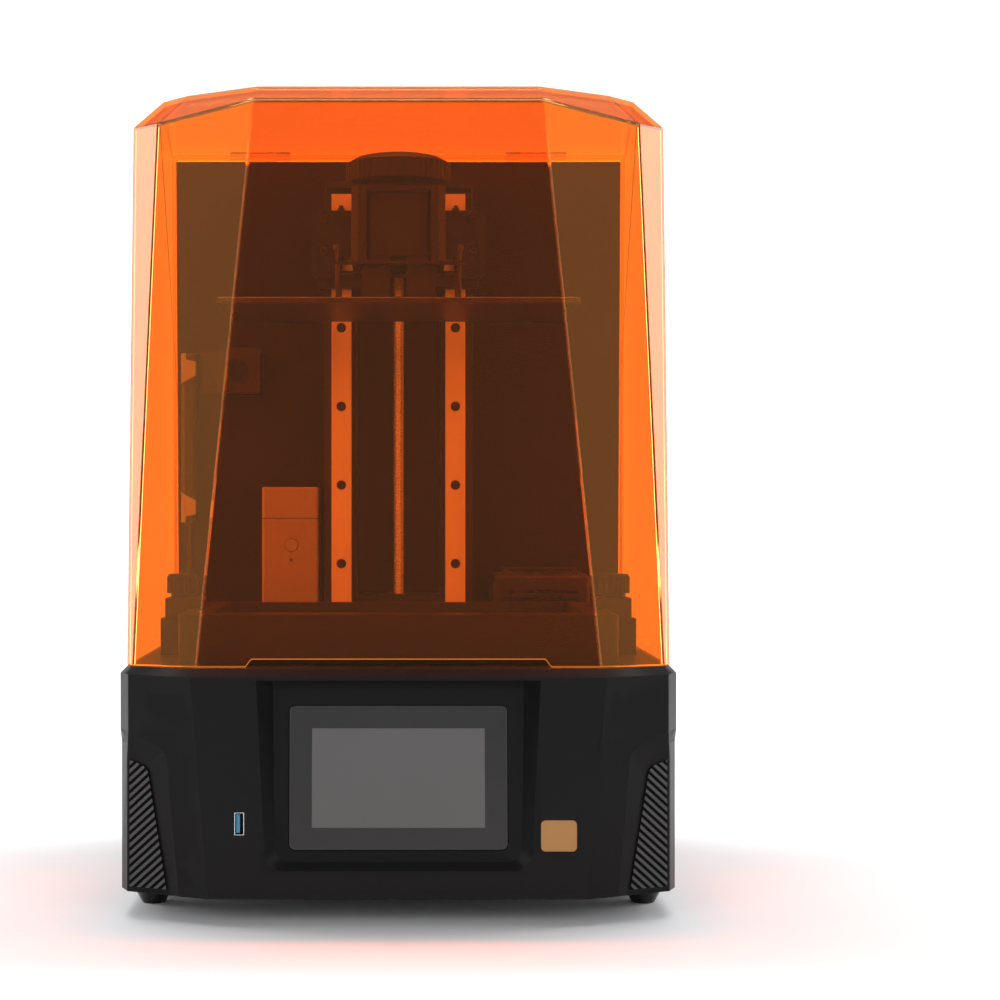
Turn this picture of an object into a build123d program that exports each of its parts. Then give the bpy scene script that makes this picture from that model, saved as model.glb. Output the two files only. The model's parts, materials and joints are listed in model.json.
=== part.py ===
from build123d import *
import os
from math import cos, radians, sin

os.makedirs("parts", exist_ok=True)

# A desktop resin printer. X is to the right, Y to the back, Z up, in millimetres. The origin is on the
# table under the middle of the machine. Depths are counted backwards from the front of the lower case.

# ---- driving dimensions: lower case ----
DEPTH = 385
CASE_BOTTOM = 17.5
CASE_TOP = 164
RIM_BEVEL = 5
CASE_HALF = 183
CORNER_X = 176
CORNER_D = 27
SHOULDER_D = 42
FRONT_HALF_LOW = 121.5
FRONT_HALF_HIGH = 133.5
WAIST_LOW = 114
WAIST_HIGH = 122
WAIST_STEP = 1
REAR_CUT = 12
CASE_WALL = 4.5
FLOOR_THICK = 2
DECK_THICK = 4
DECK_INSET = 9
LEDGE = 5

# ---- screen bay, measured on its tilted floor ----
BAY_TOP = 157
BAY_TOP_D = 14
BAY_LOW = 40.7
BAY_LOW_D = 4
GLASS_W = 140
GLASS_H = 92
GLASS_MID = 94.2
GLASS_THICK = 1.6
GLASS_SEAT = 1.2
GLASS_ROUND = 4
DISPLAY_W = 111
DISPLAY_H = 63
BAY_MOUTH_HALF = (91, 85)
BAY_MOUTH_LOW = 35.7
BAY_MOUTH_ROUND = 12
BAY_FLOOR_HALF = (81, 79)
BAY_FLOOR_ROUND = 9
BAY_FRAME_HALF = 96

# ---- cover, back wall and hinge ----
COVER_GAP = 0.3
COVER_WALL = 3
COVER_TOP = 547
COVER_REAR = 330
GRIP_HALF = 100
GRIP_HIGH = 5
BACK_HALF = 178
BACK_TOP = 545
BACK_WALL = 3
BACK_REAR = 380
HINGE_D = 333.5
HINGE_Z = 549.7
HINGE_R = 2.7
HINGE_PIN_R = 1.1
HINGE_X = 110
LEAF_HALF = 12
LEAF_FRONT_D = 318
LEAF_THICK = 1.6
BRACKET_IN = 12.2
BRACKET_OUT = 24
BRACKET_THICK = 2

# ---- Z axis ----
COLUMN_HALF = 57
COLUMN_D = 271
COLUMN_TOP = 515
CHANNEL_HALF = 32
CHANNEL_DEEP = 40
RAIL_X = 43.5
RAIL_W = 15
RAIL_LOW = 181
RAIL_TOP = 509
RAIL_HOLE_LOW = 225
RAIL_PITCH = 60
RAIL_HOLES = 5
SCREW_D = 290
SCREW_R = 4
RUNNING = 0.05
BLOCK_W = 34
BLOCK_LONG = 54.8
BLOCK_HIGH = 28
BLOCK_LOW = 434
NIPPLE_HIGH = 8.4

# ---- vat, build plate and arm ----
PLATE_W = 246.7
PLATE_L = 141
PLATE_LOW = 406.7
PLATE_TOP = 410.7
PLATE_MID_D = 155.5
VAT_HALF = 146
VAT_FRONT_D = 48
VAT_REAR_D = 240
VAT_TOP = 196.6
VAT_OPEN_W = 252
VAT_OPEN_L = 150
FILM_LOW = 166.7
FILM_THICK = 0.3
ARM_LOW = 440
ARM_TOP = 493
ARM_CAP_TOP = 497.5
KNOB_R = 37.5
KNOB_HIGH = 19.5
CLAMP_X = 153
CLAMP_D = 150
CLAMP_KNOB_LOW = 207


def depth(d):
    """Y of a point that is d behind the front of the lower case."""
    return d - DEPTH / 2


def block(x0, x1, d0, d1, z0, z1, mode=Mode.ADD):
    """A box between two X, two depths and two heights."""
    with Locations(((x0 + x1) / 2, depth((d0 + d1) / 2), (z0 + z1) / 2)):
        return Box(x1 - x0, d1 - d0, z1 - z0, mode=mode)


def post(radius, x, d, z0, z1, mode=Mode.ADD):
    """An upright cylinder."""
    with Locations((x, depth(d), (z0 + z1) / 2)):
        return Cylinder(radius, z1 - z0, mode=mode)


def dowel(radius, x, d0, d1, z, mode=Mode.ADD):
    """A cylinder that runs front to back."""
    with Locations((x, depth((d0 + d1) / 2), z)):
        return Cylinder(radius, d1 - d0, rotation=(90, 0, 0), mode=mode)


def axle(radius, x0, x1, d, z, mode=Mode.ADD):
    """A cylinder that runs left to right."""
    with Locations(((x0 + x1) / 2, depth(d), z)):
        return Cylinder(radius, x1 - x0, rotation=(0, 90, 0), mode=mode)


def front_half(z):
    """Half the width of the flat front at a height: its side creases lean in towards the table."""
    rise = (z - CASE_BOTTOM) / (CASE_TOP - CASE_BOTTOM)
    return FRONT_HALF_LOW + (FRONT_HALF_HIGH - FRONT_HALF_LOW) * rise


def case_outline(z, flat_half, half, inset=0):
    """The plan outline of the lower case at a height, as a sketch."""
    right = [
        (flat_half, depth(0)),
        (CORNER_X, depth(CORNER_D)),
        (half, depth(SHOULDER_D)),
        (half, depth(DEPTH - REAR_CUT)),
        (half - REAR_CUT, depth(DEPTH)),
    ]
    left = [(-x, y) for x, y in reversed(right)]
    with BuildSketch(Plane.XY.offset(z)) as outline:
        with BuildLine():
            Polyline(*right, *left, close=True)
        make_face()
        if inset:
            offset(amount=-inset, kind=Kind.INTERSECTION)
    return outline.sketch


front_plane = Plane.XZ.offset(DEPTH / 2)

# The floor of the screen bay leans back, so that the screen faces a person looking down at it.
bay_rise = Vector(0, BAY_TOP_D - BAY_LOW_D, BAY_TOP - BAY_LOW)
bay_floor = Plane(
    origin=(0, depth(BAY_LOW_D), BAY_LOW),
    x_dir=(1, 0, 0),
    z_dir=(0, -bay_rise.Z, bay_rise.Y),
)
glass_mid = (GLASS_MID - BAY_LOW) / (bay_rise.Z / bay_rise.length)


def bay_outline(plane, top_half, low_half, low, top, radius):
    """A trapezoid with round lower corners."""
    with BuildSketch(plane) as outline:
        with BuildLine():
            FilletPolyline(
                (top_half, top),
                (low_half, low),
                (-low_half, low),
                (-top_half, top),
                radius=radius,
            )
            Line((-top_half, top), (top_half, top))
        make_face()
    return outline.sketch


# The corner recess lies on a facet of the case. Its floor turns inwards towards the front.
facet_run = Vector(CORNER_X - (FRONT_HALF_LOW + FRONT_HALF_HIGH) / 2, CORNER_D, 0).normalized()
corner_facet = Plane(
    origin=(CORNER_X, depth(CORNER_D), 0),
    x_dir=facet_run,
    z_dir=(facet_run.Y, -facet_run.X, 0),
)
RECESS_DEEP = 1.8
RECESS_TURN = 3.5
INSERT_THICK = 1.0
# each outline: shift, height of the level top, then the knee and the foot as (along, height), and round
FLOOR_OUTLINE = (4, 105.4, -14.5, 99.9, -29.5, 19.3, 9)
MOUTH_OUTLINE = (4, 133.8, -33.7, 112, -54.5, 12.5, 12)
INSERT_OUTLINE = (-0.5, 103.3, -14.1, 99.3, -28.6, 21, 8)
floor_run = facet_run.rotate(Axis.Z, -RECESS_TURN)
recess_floor = Plane(
    origin=corner_facet.origin - corner_facet.z_dir * RECESS_DEEP,
    x_dir=floor_run,
    z_dir=(floor_run.Y, -floor_run.X, 0),
)
recess_mouth = corner_facet.offset(1)


def recess_outline(plane, shift, high, knee_u, knee_z, foot_u, foot_z, radius):
    """The recess: level at the top, a rounded knee, then down and forwards to the foot."""
    with BuildSketch(plane) as outline:
        with BuildLine():
            FilletPolyline((shift, high), (knee_u, knee_z), (foot_u, foot_z), radius=radius)
            Polyline((foot_u, foot_z), (shift, foot_z), (shift, high))
        make_face()
    return outline.sketch


USB_X = -101.6
USB_Z = 65.7
USB_W = 6.3
USB_H = 14.5
USB_DEEP = 17
BADGE_X = 102.5
BADGE_Z = 58
BADGE_W = 23
BADGE_H = 20
BADGE_THICK = 0.6
BADGE_ROUND = 3
INLET_X = -120
SWITCH_X = -78
SOCKET_Z = 62
INLET_W = 48
INLET_H = 28
SWITCH_W = 21
SWITCH_H = 30
SLOT_LOW = 36
SIDE_SLOTS = 12
SIDE_SLOT_PITCH = 6
SIDE_SLOT_HIGH = 2.4
SIDE_SLOT_D = (130, 250)
REAR_SLOTS = 14
REAR_SLOT_X = -26
REAR_SLOT_PITCH = 12
REAR_SLOT_W = 5
REAR_SLOT_TOP = 116

with BuildPart() as recess_tool:
    loft(
        sections=[
            recess_outline(recess_floor, *FLOOR_OUTLINE),
            recess_outline(recess_mouth, *MOUTH_OUTLINE),
        ],
        ruled=True,
    )

with BuildPart() as base_shell:
    loft(
        sections=[
            case_outline(CASE_BOTTOM, front_half(CASE_BOTTOM), CASE_HALF - WAIST_STEP),
            case_outline(WAIST_LOW, front_half(WAIST_LOW), CASE_HALF - WAIST_STEP),
            case_outline(WAIST_HIGH, front_half(WAIST_HIGH), CASE_HALF),
            case_outline(CASE_TOP, front_half(CASE_TOP), CASE_HALF),
        ],
        ruled=True,
    )
    chamfer(base_shell.edges().group_by(Axis.Z)[-1], length=RIM_BEVEL)
    # hollow inside, with a ledge that the deck rests on
    under_ledge = CASE_TOP - DECK_THICK - 2
    extrude(
        case_outline(CASE_BOTTOM, FRONT_HALF_LOW, CASE_HALF - WAIST_STEP, CASE_WALL),
        amount=under_ledge - CASE_BOTTOM,
        mode=Mode.SUBTRACT,
    )
    extrude(
        case_outline(under_ledge, FRONT_HALF_HIGH, CASE_HALF, DECK_INSET + LEDGE),
        amount=CASE_TOP - under_ledge,
        mode=Mode.SUBTRACT,
    )
    extrude(
        case_outline(CASE_TOP - DECK_THICK, FRONT_HALF_HIGH, CASE_HALF, DECK_INSET),
        amount=DECK_THICK,
        mode=Mode.SUBTRACT,
    )
    # the sunk bay round the screen
    block(-BAY_FRAME_HALF, BAY_FRAME_HALF, CASE_WALL, 22, 30, under_ledge)
    loft(
        sections=[
            bay_outline(front_plane, *BAY_MOUTH_HALF, BAY_MOUTH_LOW, BAY_TOP, BAY_MOUTH_ROUND),
            bay_outline(bay_floor, *BAY_FLOOR_HALF, 0, bay_rise.length, BAY_FLOOR_ROUND),
        ],
        ruled=True,
        mode=Mode.SUBTRACT,
    )
    with BuildSketch(bay_floor):
        with Locations((0, glass_mid)):
            RectangleRounded(GLASS_W + 1, GLASS_H + 1, GLASS_ROUND + 0.5)
    extrude(amount=-GLASS_SEAT, mode=Mode.SUBTRACT)
    with BuildSketch(bay_floor):
        with Locations((0, glass_mid)):
            Rectangle(DISPLAY_W + 8, DISPLAY_H + 8)
    extrude(amount=-25, mode=Mode.SUBTRACT)
    # corner recesses
    add(recess_tool.part, mode=Mode.SUBTRACT)
    add(mirror(recess_tool.part, about=Plane.YZ, mode=Mode.PRIVATE), mode=Mode.SUBTRACT)
    # openings for the USB socket, badge, mains inlet and switch
    block(
        USB_X - USB_W / 2,
        USB_X + USB_W / 2,
        0,
        CASE_WALL,
        USB_Z - USB_H / 2,
        USB_Z + USB_H / 2,
        mode=Mode.SUBTRACT,
    )
    with BuildSketch(front_plane):
        with Locations((BADGE_X, BADGE_Z)):
            RectangleRounded(BADGE_W, BADGE_H, BADGE_ROUND)
    extrude(amount=-BADGE_THICK, mode=Mode.SUBTRACT)
    for mid, wide, high in ((INLET_X, INLET_W, INLET_H), (SWITCH_X, SWITCH_W, SWITCH_H)):
        block(
            mid - wide / 2,
            mid + wide / 2,
            DEPTH - CASE_WALL,
            DEPTH,
            SOCKET_Z - high / 2,
            SOCKET_Z + high / 2,
            mode=Mode.SUBTRACT,
        )
    # level cooling slots in both side walls and upright ones in the back
    for row in range(SIDE_SLOTS):
        low = SLOT_LOW + SIDE_SLOT_PITCH * row
        high = low + SIDE_SLOT_HIGH
        block(-CASE_HALF - 1, CASE_HALF + 1, *SIDE_SLOT_D, low, high, mode=Mode.SUBTRACT)
    for column in range(REAR_SLOTS):
        left = REAR_SLOT_X + REAR_SLOT_PITCH * column
        right = left + REAR_SLOT_W
        block(left, right, DEPTH - CASE_WALL, DEPTH, SLOT_LOW, REAR_SLOT_TOP, mode=Mode.SUBTRACT)

BOARD_X = (-165, -62)
BOARD_D = (237, 327)
BOARD_LOW = 44
BOARD_TOP = 45.6
STAND_OFF = 5
with BuildPart() as base_plate:
    extrude(
        case_outline(CASE_BOTTOM, FRONT_HALF_LOW, CASE_HALF - WAIST_STEP, CASE_WALL),
        amount=FLOOR_THICK,
    )
    with Locations((0, depth(PLATE_MID_D), CASE_BOTTOM)):
        with GridLocations(8, 0, 9, 1):
            Box(3.5, 70, 2 * FLOOR_THICK, mode=Mode.SUBTRACT)
    # stand-offs for the main board
    for x in (BOARD_X[0] + STAND_OFF, BOARD_X[1] - STAND_OFF - 1):
        for d in (BOARD_D[0] + STAND_OFF, BOARD_D[1] - STAND_OFF):
            post(4, x, d, CASE_BOTTOM + FLOOR_THICK, BOARD_LOW)

FOOT_X = 166
FOOT_DEPTHS = (84, 335)
FOOT_LOW_R = 7.5
FOOT_TOP_R = 12.8
FOOT_TAPER = 9.5
with BuildPart() as feet:
    for x in (-FOOT_X, FOOT_X):
        for d in FOOT_DEPTHS:
            with Locations((x, depth(d), FOOT_TAPER / 2)):
                Cone(FOOT_LOW_R, FOOT_TOP_R, FOOT_TAPER)
            post(FOOT_TOP_R, x, d, FOOT_TAPER, CASE_BOTTOM)
    fillet(feet.edges().group_by(Axis.Z)[0], radius=1.2)

DECK_LOW = CASE_TOP - DECK_THICK
LCD_W = 240
LCD_L = 140
WINDOW_W = 226
WINDOW_L = 128
with BuildPart() as deck_plate:
    extrude(
        case_outline(DECK_LOW, FRONT_HALF_HIGH, CASE_HALF, DECK_INSET),
        amount=DECK_THICK,
    )
    block(
        -WINDOW_W / 2,
        WINDOW_W / 2,
        PLATE_MID_D - WINDOW_L / 2,
        PLATE_MID_D + WINDOW_L / 2,
        DECK_LOW,
        CASE_TOP,
        mode=Mode.SUBTRACT,
    )
    post(8, 0, SCREW_D, DECK_LOW, CASE_TOP, mode=Mode.SUBTRACT)

with BuildPart() as side_insert_right:
    extrude(recess_outline(recess_floor, *INSERT_OUTLINE), amount=INSERT_THICK)
with BuildPart() as side_insert_left:
    add(mirror(side_insert_right.part, about=Plane.YZ, mode=Mode.PRIVATE))

with BuildPart() as screen_glass:
    with BuildSketch(bay_floor.offset(-GLASS_SEAT)):
        with Locations((0, glass_mid)):
            RectangleRounded(GLASS_W, GLASS_H, GLASS_ROUND)
    extrude(amount=GLASS_THICK)
    fillet(screen_glass.faces().sort_by(Axis.Y)[0].edges(), radius=0.4)

with BuildPart() as display_panel:
    with BuildSketch(bay_floor.offset(-GLASS_SEAT)):
        with Locations((0, glass_mid)):
            Rectangle(DISPLAY_W + 6, DISPLAY_H + 6)
    extrude(amount=-4)

with BuildPart() as usb_port:
    block(
        USB_X - USB_W / 2,
        USB_X + USB_W / 2,
        0,
        USB_DEEP,
        USB_Z - USB_H / 2,
        USB_Z + USB_H / 2,
    )
    block(
        USB_X - USB_W / 2 + 0.5,
        USB_X + USB_W / 2 - 0.5,
        0,
        USB_DEEP - 3,
        USB_Z - USB_H / 2 + 0.5,
        USB_Z + USB_H / 2 - 0.5,
        mode=Mode.SUBTRACT,
    )
with BuildPart() as usb_tongue:
    block(USB_X - 2.0, USB_X + 0.4, 1.2, USB_DEEP - 3, USB_Z - 6, USB_Z + 6)

with BuildPart() as badge:
    with BuildSketch(front_plane):
        with Locations((BADGE_X, BADGE_Z)):
            RectangleRounded(BADGE_W, BADGE_H, BADGE_ROUND)
    extrude(amount=-BADGE_THICK)

# ---- light engine under the vat ----
LCD_TOP = 166.5
ENGINE_LOW = 62
ENGINE_HALF = 118
ENGINE_D = (88, 223)
ENGINE_WALL = 2
LEDGE_LOW = 88
LEDGE_TOP = 90
LENS_TOP = 92
SINK_X = (-100, 100)
SINK_D = (100, 211)
SINK_BASE = 56
FINS = 25
FIN_PITCH = 8.2
FIN_THICK = 1.6
LED_GRID = (24, 24, 8, 4)
with BuildPart() as lcd_panel:
    block(
        -LCD_W / 2,
        LCD_W / 2,
        PLATE_MID_D - LCD_L / 2,
        PLATE_MID_D + LCD_L / 2,
        CASE_TOP,
        LCD_TOP,
    )
    chamfer(lcd_panel.faces().sort_by(Axis.Z)[-1].edges(), length=0.6)

with BuildPart() as light_housing:
    block(-ENGINE_HALF, ENGINE_HALF, *ENGINE_D, ENGINE_LOW, DECK_LOW)
    block(
        -ENGINE_HALF + ENGINE_WALL,
        ENGINE_HALF - ENGINE_WALL,
        ENGINE_D[0] + ENGINE_WALL,
        ENGINE_D[1] - ENGINE_WALL,
        ENGINE_LOW + ENGINE_WALL,
        DECK_LOW,
        mode=Mode.SUBTRACT,
    )
    # a ledge half-way up carries the lens plate
    block(-ENGINE_HALF, ENGINE_HALF, *ENGINE_D, LEDGE_LOW, LEDGE_TOP)
    block(-108, 108, 98, 213, LEDGE_LOW, LEDGE_TOP, mode=Mode.SUBTRACT)

board_low = ENGINE_LOW + ENGINE_WALL
with BuildPart() as led_board:
    block(*SINK_X, *SINK_D, board_low, board_low + 1.6)
    with Locations((0, depth(PLATE_MID_D), board_low + 2.2)):
        with GridLocations(*LED_GRID):
            Box(3.5, 3.5, 1.4)

rising = (Align.CENTER, Align.CENTER, Align.MIN)
with BuildPart() as lens_plate:
    block(-115, 115, 91, 220, LEDGE_TOP, LENS_TOP)
    with Locations((0, depth(PLATE_MID_D), LENS_TOP)):
        with GridLocations(*LED_GRID):
            Cone(11, 7, 4, align=rising)

FAN_MID = (0, PLATE_MID_D)
FAN_SIZE = 80
FAN_LOW = 26
FAN_HIGH = 41
FAN_BORE = 38
FAN_HUB = 16
SPINDLE_R = 1.5
with BuildPart() as heat_sink:
    block(*SINK_X, *SINK_D, SINK_BASE, ENGINE_LOW)
    for fin in range(FINS):
        left = SINK_X[0] + 1 + FIN_PITCH * fin
        block(left, left + FIN_THICK, *SINK_D, FAN_HIGH, SINK_BASE)

with BuildPart() as light_fan_frame:
    with Locations((FAN_MID[0], depth(FAN_MID[1]), (FAN_LOW + FAN_HIGH) / 2)):
        Box(FAN_SIZE, FAN_SIZE, FAN_HIGH - FAN_LOW)
    fillet(light_fan_frame.edges().filter_by(Axis.Z), radius=4)
    post(FAN_BORE, *FAN_MID, FAN_LOW, FAN_HIGH, mode=Mode.SUBTRACT)
    post(FAN_HUB, *FAN_MID, FAN_HIGH - 2, FAN_HIGH)
    for turn in (45, 135):
        with Locations(
            Location((FAN_MID[0], depth(FAN_MID[1]), FAN_HIGH - 1), (0, 0, turn))
        ):
            Box(FAN_SIZE - 2, 4, 2)
    post(SPINDLE_R + RUNNING, *FAN_MID, FAN_HIGH - 2, FAN_HIGH, mode=Mode.SUBTRACT)


def fan_rotor(mid, radius, hub, low, high, blades, axis_end):
    """Blades on a hub, with the spindle that its frame holds, all about an upright axis."""
    pitch = 360 / blades
    with BuildPart() as rotor:
        post(hub, *mid, low, high)
        post(SPINDLE_R, *mid, low, axis_end)
        for number in range(blades):
            turn = number * pitch
            reach = (hub + radius) / 2 - 1
            x = mid[0] + reach * cos(radians(turn))
            y = depth(mid[1]) + reach * sin(radians(turn))
            with Locations(Location((x, y, (low + high) / 2), (0, 0, turn))):
                Box(radius - hub + 2, 1.6, (high - low) * 1.05, rotation=(38, 0, 0))
    return rotor


light_fan_rotor = fan_rotor(FAN_MID, 36.5, 15, FAN_LOW + 2, FAN_HIGH - 2.5, 7, FAN_HIGH)

# ---- electronics in the lower case ----
with BuildPart() as mainboard:
    block(*BOARD_X, *BOARD_D, BOARD_LOW, BOARD_TOP)
    # the processor, a row of plugs and a row of capacitors
    block(-120, -100, 265, 285, BOARD_TOP, BOARD_TOP + 2.4)
    for slot in range(4):
        left = -158 + 16 * slot
        block(left, left + 8, 306, 320, BOARD_TOP, BOARD_TOP + 8.4)
    for slot in range(3):
        left = -95 + 11 * slot
        block(left, left + 8, 244, 252, BOARD_TOP, BOARD_TOP + 14.4)

SUPPLY_X = (58, 166)
SUPPLY_D = (225, 345)
SUPPLY_TOP = 60
SUPPLY_WALL = 1.5
floor_top = CASE_BOTTOM + FLOOR_THICK
supply_floor = floor_top + SUPPLY_WALL
supply_lid = SUPPLY_TOP - SUPPLY_WALL
with BuildPart() as power_supply:
    block(*SUPPLY_X, *SUPPLY_D, floor_top, SUPPLY_TOP)
    # the terminal strip
    block(64, 160, SUPPLY_D[1], SUPPLY_D[1] + 12, floor_top, 40)
    block(
        SUPPLY_X[0] + SUPPLY_WALL,
        SUPPLY_X[1] - SUPPLY_WALL,
        SUPPLY_D[0] + SUPPLY_WALL,
        SUPPLY_D[1] - SUPPLY_WALL,
        supply_floor,
        supply_lid,
        mode=Mode.SUBTRACT,
    )
    # its circuit board, under nine air slots
    block(62, 162, 232, 338, supply_floor, supply_floor + 4.5)
    for row in range(9):
        left = 66 + 11 * row
        block(left, left + 5, 240, 330, supply_lid, SUPPLY_TOP, mode=Mode.SUBTRACT)

INLET_FRONT = 355
PIN_BASE = 365
with BuildPart() as power_inlet:
    block(
        INLET_X - INLET_W / 2,
        INLET_X + INLET_W / 2,
        INLET_FRONT,
        DEPTH,
        SOCKET_Z - INLET_H / 2,
        SOCKET_Z + INLET_H / 2,
    )
    block(INLET_X - 12.5, INLET_X + 12.5, PIN_BASE, DEPTH, SOCKET_Z - 8, SOCKET_Z + 8, mode=Mode.SUBTRACT)
    for across, up in ((-7, -2), (7, -2), (0, 2.5)):
        x = INLET_X + across
        z = SOCKET_Z + up
        block(x - 1, x + 1, PIN_BASE, PIN_BASE + 16, z - 2, z + 2)

ROCKER_D = 378
ROCKER_HALF = 7.6
ROCKER_EDGE = 11.8
PIVOT_HALF = 8
PIVOT_R = 1.5
with BuildPart() as switch_frame:
    block(
        SWITCH_X - SWITCH_W / 2,
        SWITCH_X + SWITCH_W / 2,
        362,
        DEPTH,
        SOCKET_Z - SWITCH_H / 2,
        SOCKET_Z + SWITCH_H / 2,
    )
    block(
        SWITCH_X - PIVOT_HALF,
        SWITCH_X + PIVOT_HALF,
        366,
        DEPTH,
        SOCKET_Z - 13,
        SOCKET_Z + 13,
        mode=Mode.SUBTRACT,
    )
    axle(PIVOT_R, SWITCH_X - PIVOT_HALF, SWITCH_X + PIVOT_HALF, ROCKER_D, SOCKET_Z)

with BuildPart() as switch_rocker:
    with BuildSketch(Plane.YZ.offset(SWITCH_X - ROCKER_HALF)):
        with BuildLine():
            Polyline(
                (depth(371), SOCKET_Z - 3),
                (depth(376), SOCKET_Z - 11.5),
                (depth(384.2), SOCKET_Z - ROCKER_EDGE),
                (depth(382.2), SOCKET_Z),
                (depth(384.2), SOCKET_Z + ROCKER_EDGE),
                (depth(376), SOCKET_Z + 11.5),
                (depth(371), SOCKET_Z + 3),
                close=True,
            )
        make_face()
    extrude(amount=2 * ROCKER_HALF)
    axle(
        PIVOT_R + RUNNING,
        SWITCH_X - PIVOT_HALF,
        SWITCH_X + PIVOT_HALF,
        ROCKER_D,
        SOCKET_Z,
        mode=Mode.SUBTRACT,
    )

# ---- back wall and rear housing ----
with BuildPart() as back_wall:
    with BuildSketch(Plane.XZ.offset(-depth(COVER_REAR))):
        with Locations((0, (CASE_TOP + BACK_TOP) / 2)):
            RectangleRounded(2 * BACK_HALF, BACK_TOP - CASE_TOP, 3)
    extrude(amount=-BACK_WALL)

with BuildPart() as back_housing:
    block(-BACK_HALF, BACK_HALF, COVER_REAR + BACK_WALL, BACK_REAR, CASE_TOP, BACK_TOP)
    fillet(back_housing.edges().filter_by(Axis.Z).sort_by(Axis.Y)[-2:], radius=14)
    fillet(back_housing.faces().sort_by(Axis.Z)[-1].edges().sort_by(Axis.Y)[-3:], radius=5)
    block(
        -BACK_HALF + BACK_WALL,
        BACK_HALF - BACK_WALL,
        COVER_REAR + BACK_WALL,
        BACK_REAR - 15,
        CASE_TOP + BACK_WALL,
        BACK_TOP - BACK_WALL,
        mode=Mode.SUBTRACT,
    )
    block(
        -BACK_HALF + 16,
        BACK_HALF - 16,
        BACK_REAR - 16,
        BACK_REAR - BACK_WALL,
        CASE_TOP + BACK_WALL,
        BACK_TOP - 8,
        mode=Mode.SUBTRACT,
    )
    # two panels of level air slots
    for x in (-110, 30):
        for row in range(14):
            low = 400 + 8 * row
            high = low + 3
            block(x, x + 80, BACK_REAR - BACK_WALL, BACK_REAR, low, high, mode=Mode.SUBTRACT)

with BuildPart() as hinge_brackets:
    for x in (-HINGE_X, HINGE_X):
        left = x - BRACKET_OUT
        right = x + BRACKET_OUT
        foot_top = BACK_TOP + BRACKET_THICK
        for side in (-1, 1):
            low, high = sorted((x + side * BRACKET_IN, x + side * BRACKET_OUT))
            axle(HINGE_R, low, high, HINGE_D, HINGE_Z)
            block(low, high, HINGE_D, HINGE_D + HINGE_R, BACK_TOP, HINGE_Z)
            block(low, high, HINGE_D, HINGE_D + 10, BACK_TOP, foot_top)
        block(left, right, HINGE_D + HINGE_R + 0.8, HINGE_D + 34, BACK_TOP, foot_top)
        axle(HINGE_PIN_R, left, right, HINGE_D, HINGE_Z, mode=Mode.SUBTRACT)

with BuildPart() as hinge_leaves:
    for x in (-HINGE_X, HINGE_X):
        left = x - LEAF_HALF
        right = x + LEAF_HALF
        axle(HINGE_R, left, right, HINGE_D, HINGE_Z)
        block(left, right, LEAF_FRONT_D, HINGE_D, COVER_TOP, COVER_TOP + LEAF_THICK)
        axle(HINGE_PIN_R + RUNNING, left, right, HINGE_D, HINGE_Z, mode=Mode.SUBTRACT)

with BuildPart() as hinge_pins:
    for x in (-HINGE_X, HINGE_X):
        axle(HINGE_PIN_R, x - BRACKET_OUT, x + BRACKET_OUT, HINGE_D, HINGE_Z)


# ---- cover ----
def facet(a, b, c):
    """The plane through three points, each given as X, depth, Z."""
    a, b, c = (Vector(x, depth(d), z) for x, d, z in (a, b, c))
    return Plane(origin=a, x_dir=b - a, z_dir=(b - a).cross(c - a))


# corners of the right half: the front panel's foot and head, the corner facets' foot and heads
front_foot = (131, 15, CASE_TOP)
front_head = (95, 35, 535.6)
corner_foot = (173, 31, CASE_TOP)
corner_head = (161, 60, 524)
side_head = (180, 84.5, 525.5)
SIDE_FOOT_X = 178
TOP_SIDE_X = 160
sx, sd = side_head[:2]
right_facets = [
    (front_foot, corner_head, front_head),
    (corner_foot, side_head, corner_head),
    ((SIDE_FOOT_X, sd, CASE_TOP), (SIDE_FOOT_X, COVER_REAR, CASE_TOP), side_head),
    (side_head, (sx, COVER_REAR, COVER_TOP), (TOP_SIDE_X, sd, COVER_TOP)),
    (front_head, corner_head, (125, 70.5, COVER_TOP)),
    (corner_head, side_head, (156, 97, COVER_TOP)),
]
left_facets = [tuple((-x, d, z) for x, d, z in (a, c, b)) for a, b, c in right_facets]
fx, fd, fz = front_head
middle_facets = [
    ((-front_foot[0], *front_foot[1:]), front_foot, front_head),
    ((-fx, fd, fz), front_head, (fx, 51, COVER_TOP)),
]
cover_facets = [facet(*points) for points in right_facets + left_facets + middle_facets]

with BuildPart() as cover_space:
    block(-190, 190, 0, COVER_REAR + 10, CASE_TOP - 10, COVER_TOP - COVER_WALL)
    for plane in cover_facets:
        split(bisect_by=plane.offset(-COVER_WALL), keep=Keep.BOTTOM)

with BuildPart() as cover_hood:
    block(-190, 190, 0, COVER_REAR - COVER_GAP, CASE_TOP + COVER_GAP, COVER_TOP)
    for plane in cover_facets:
        split(bisect_by=plane, keep=Keep.BOTTOM)
    add(cover_space.part, mode=Mode.SUBTRACT)
    # finger grip
    with BuildSketch(Plane.XZ.offset(-depth(0))):
        with BuildLine():
            Polyline(
                (-GRIP_HALF, CASE_TOP - 1),
                (GRIP_HALF, CASE_TOP - 1),
                (GRIP_HALF - 5, CASE_TOP + COVER_GAP + GRIP_HIGH),
                (5 - GRIP_HALF, CASE_TOP + COVER_GAP + GRIP_HIGH),
                close=True,
            )
        make_face()
    extrude(amount=-45, mode=Mode.SUBTRACT)

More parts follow.
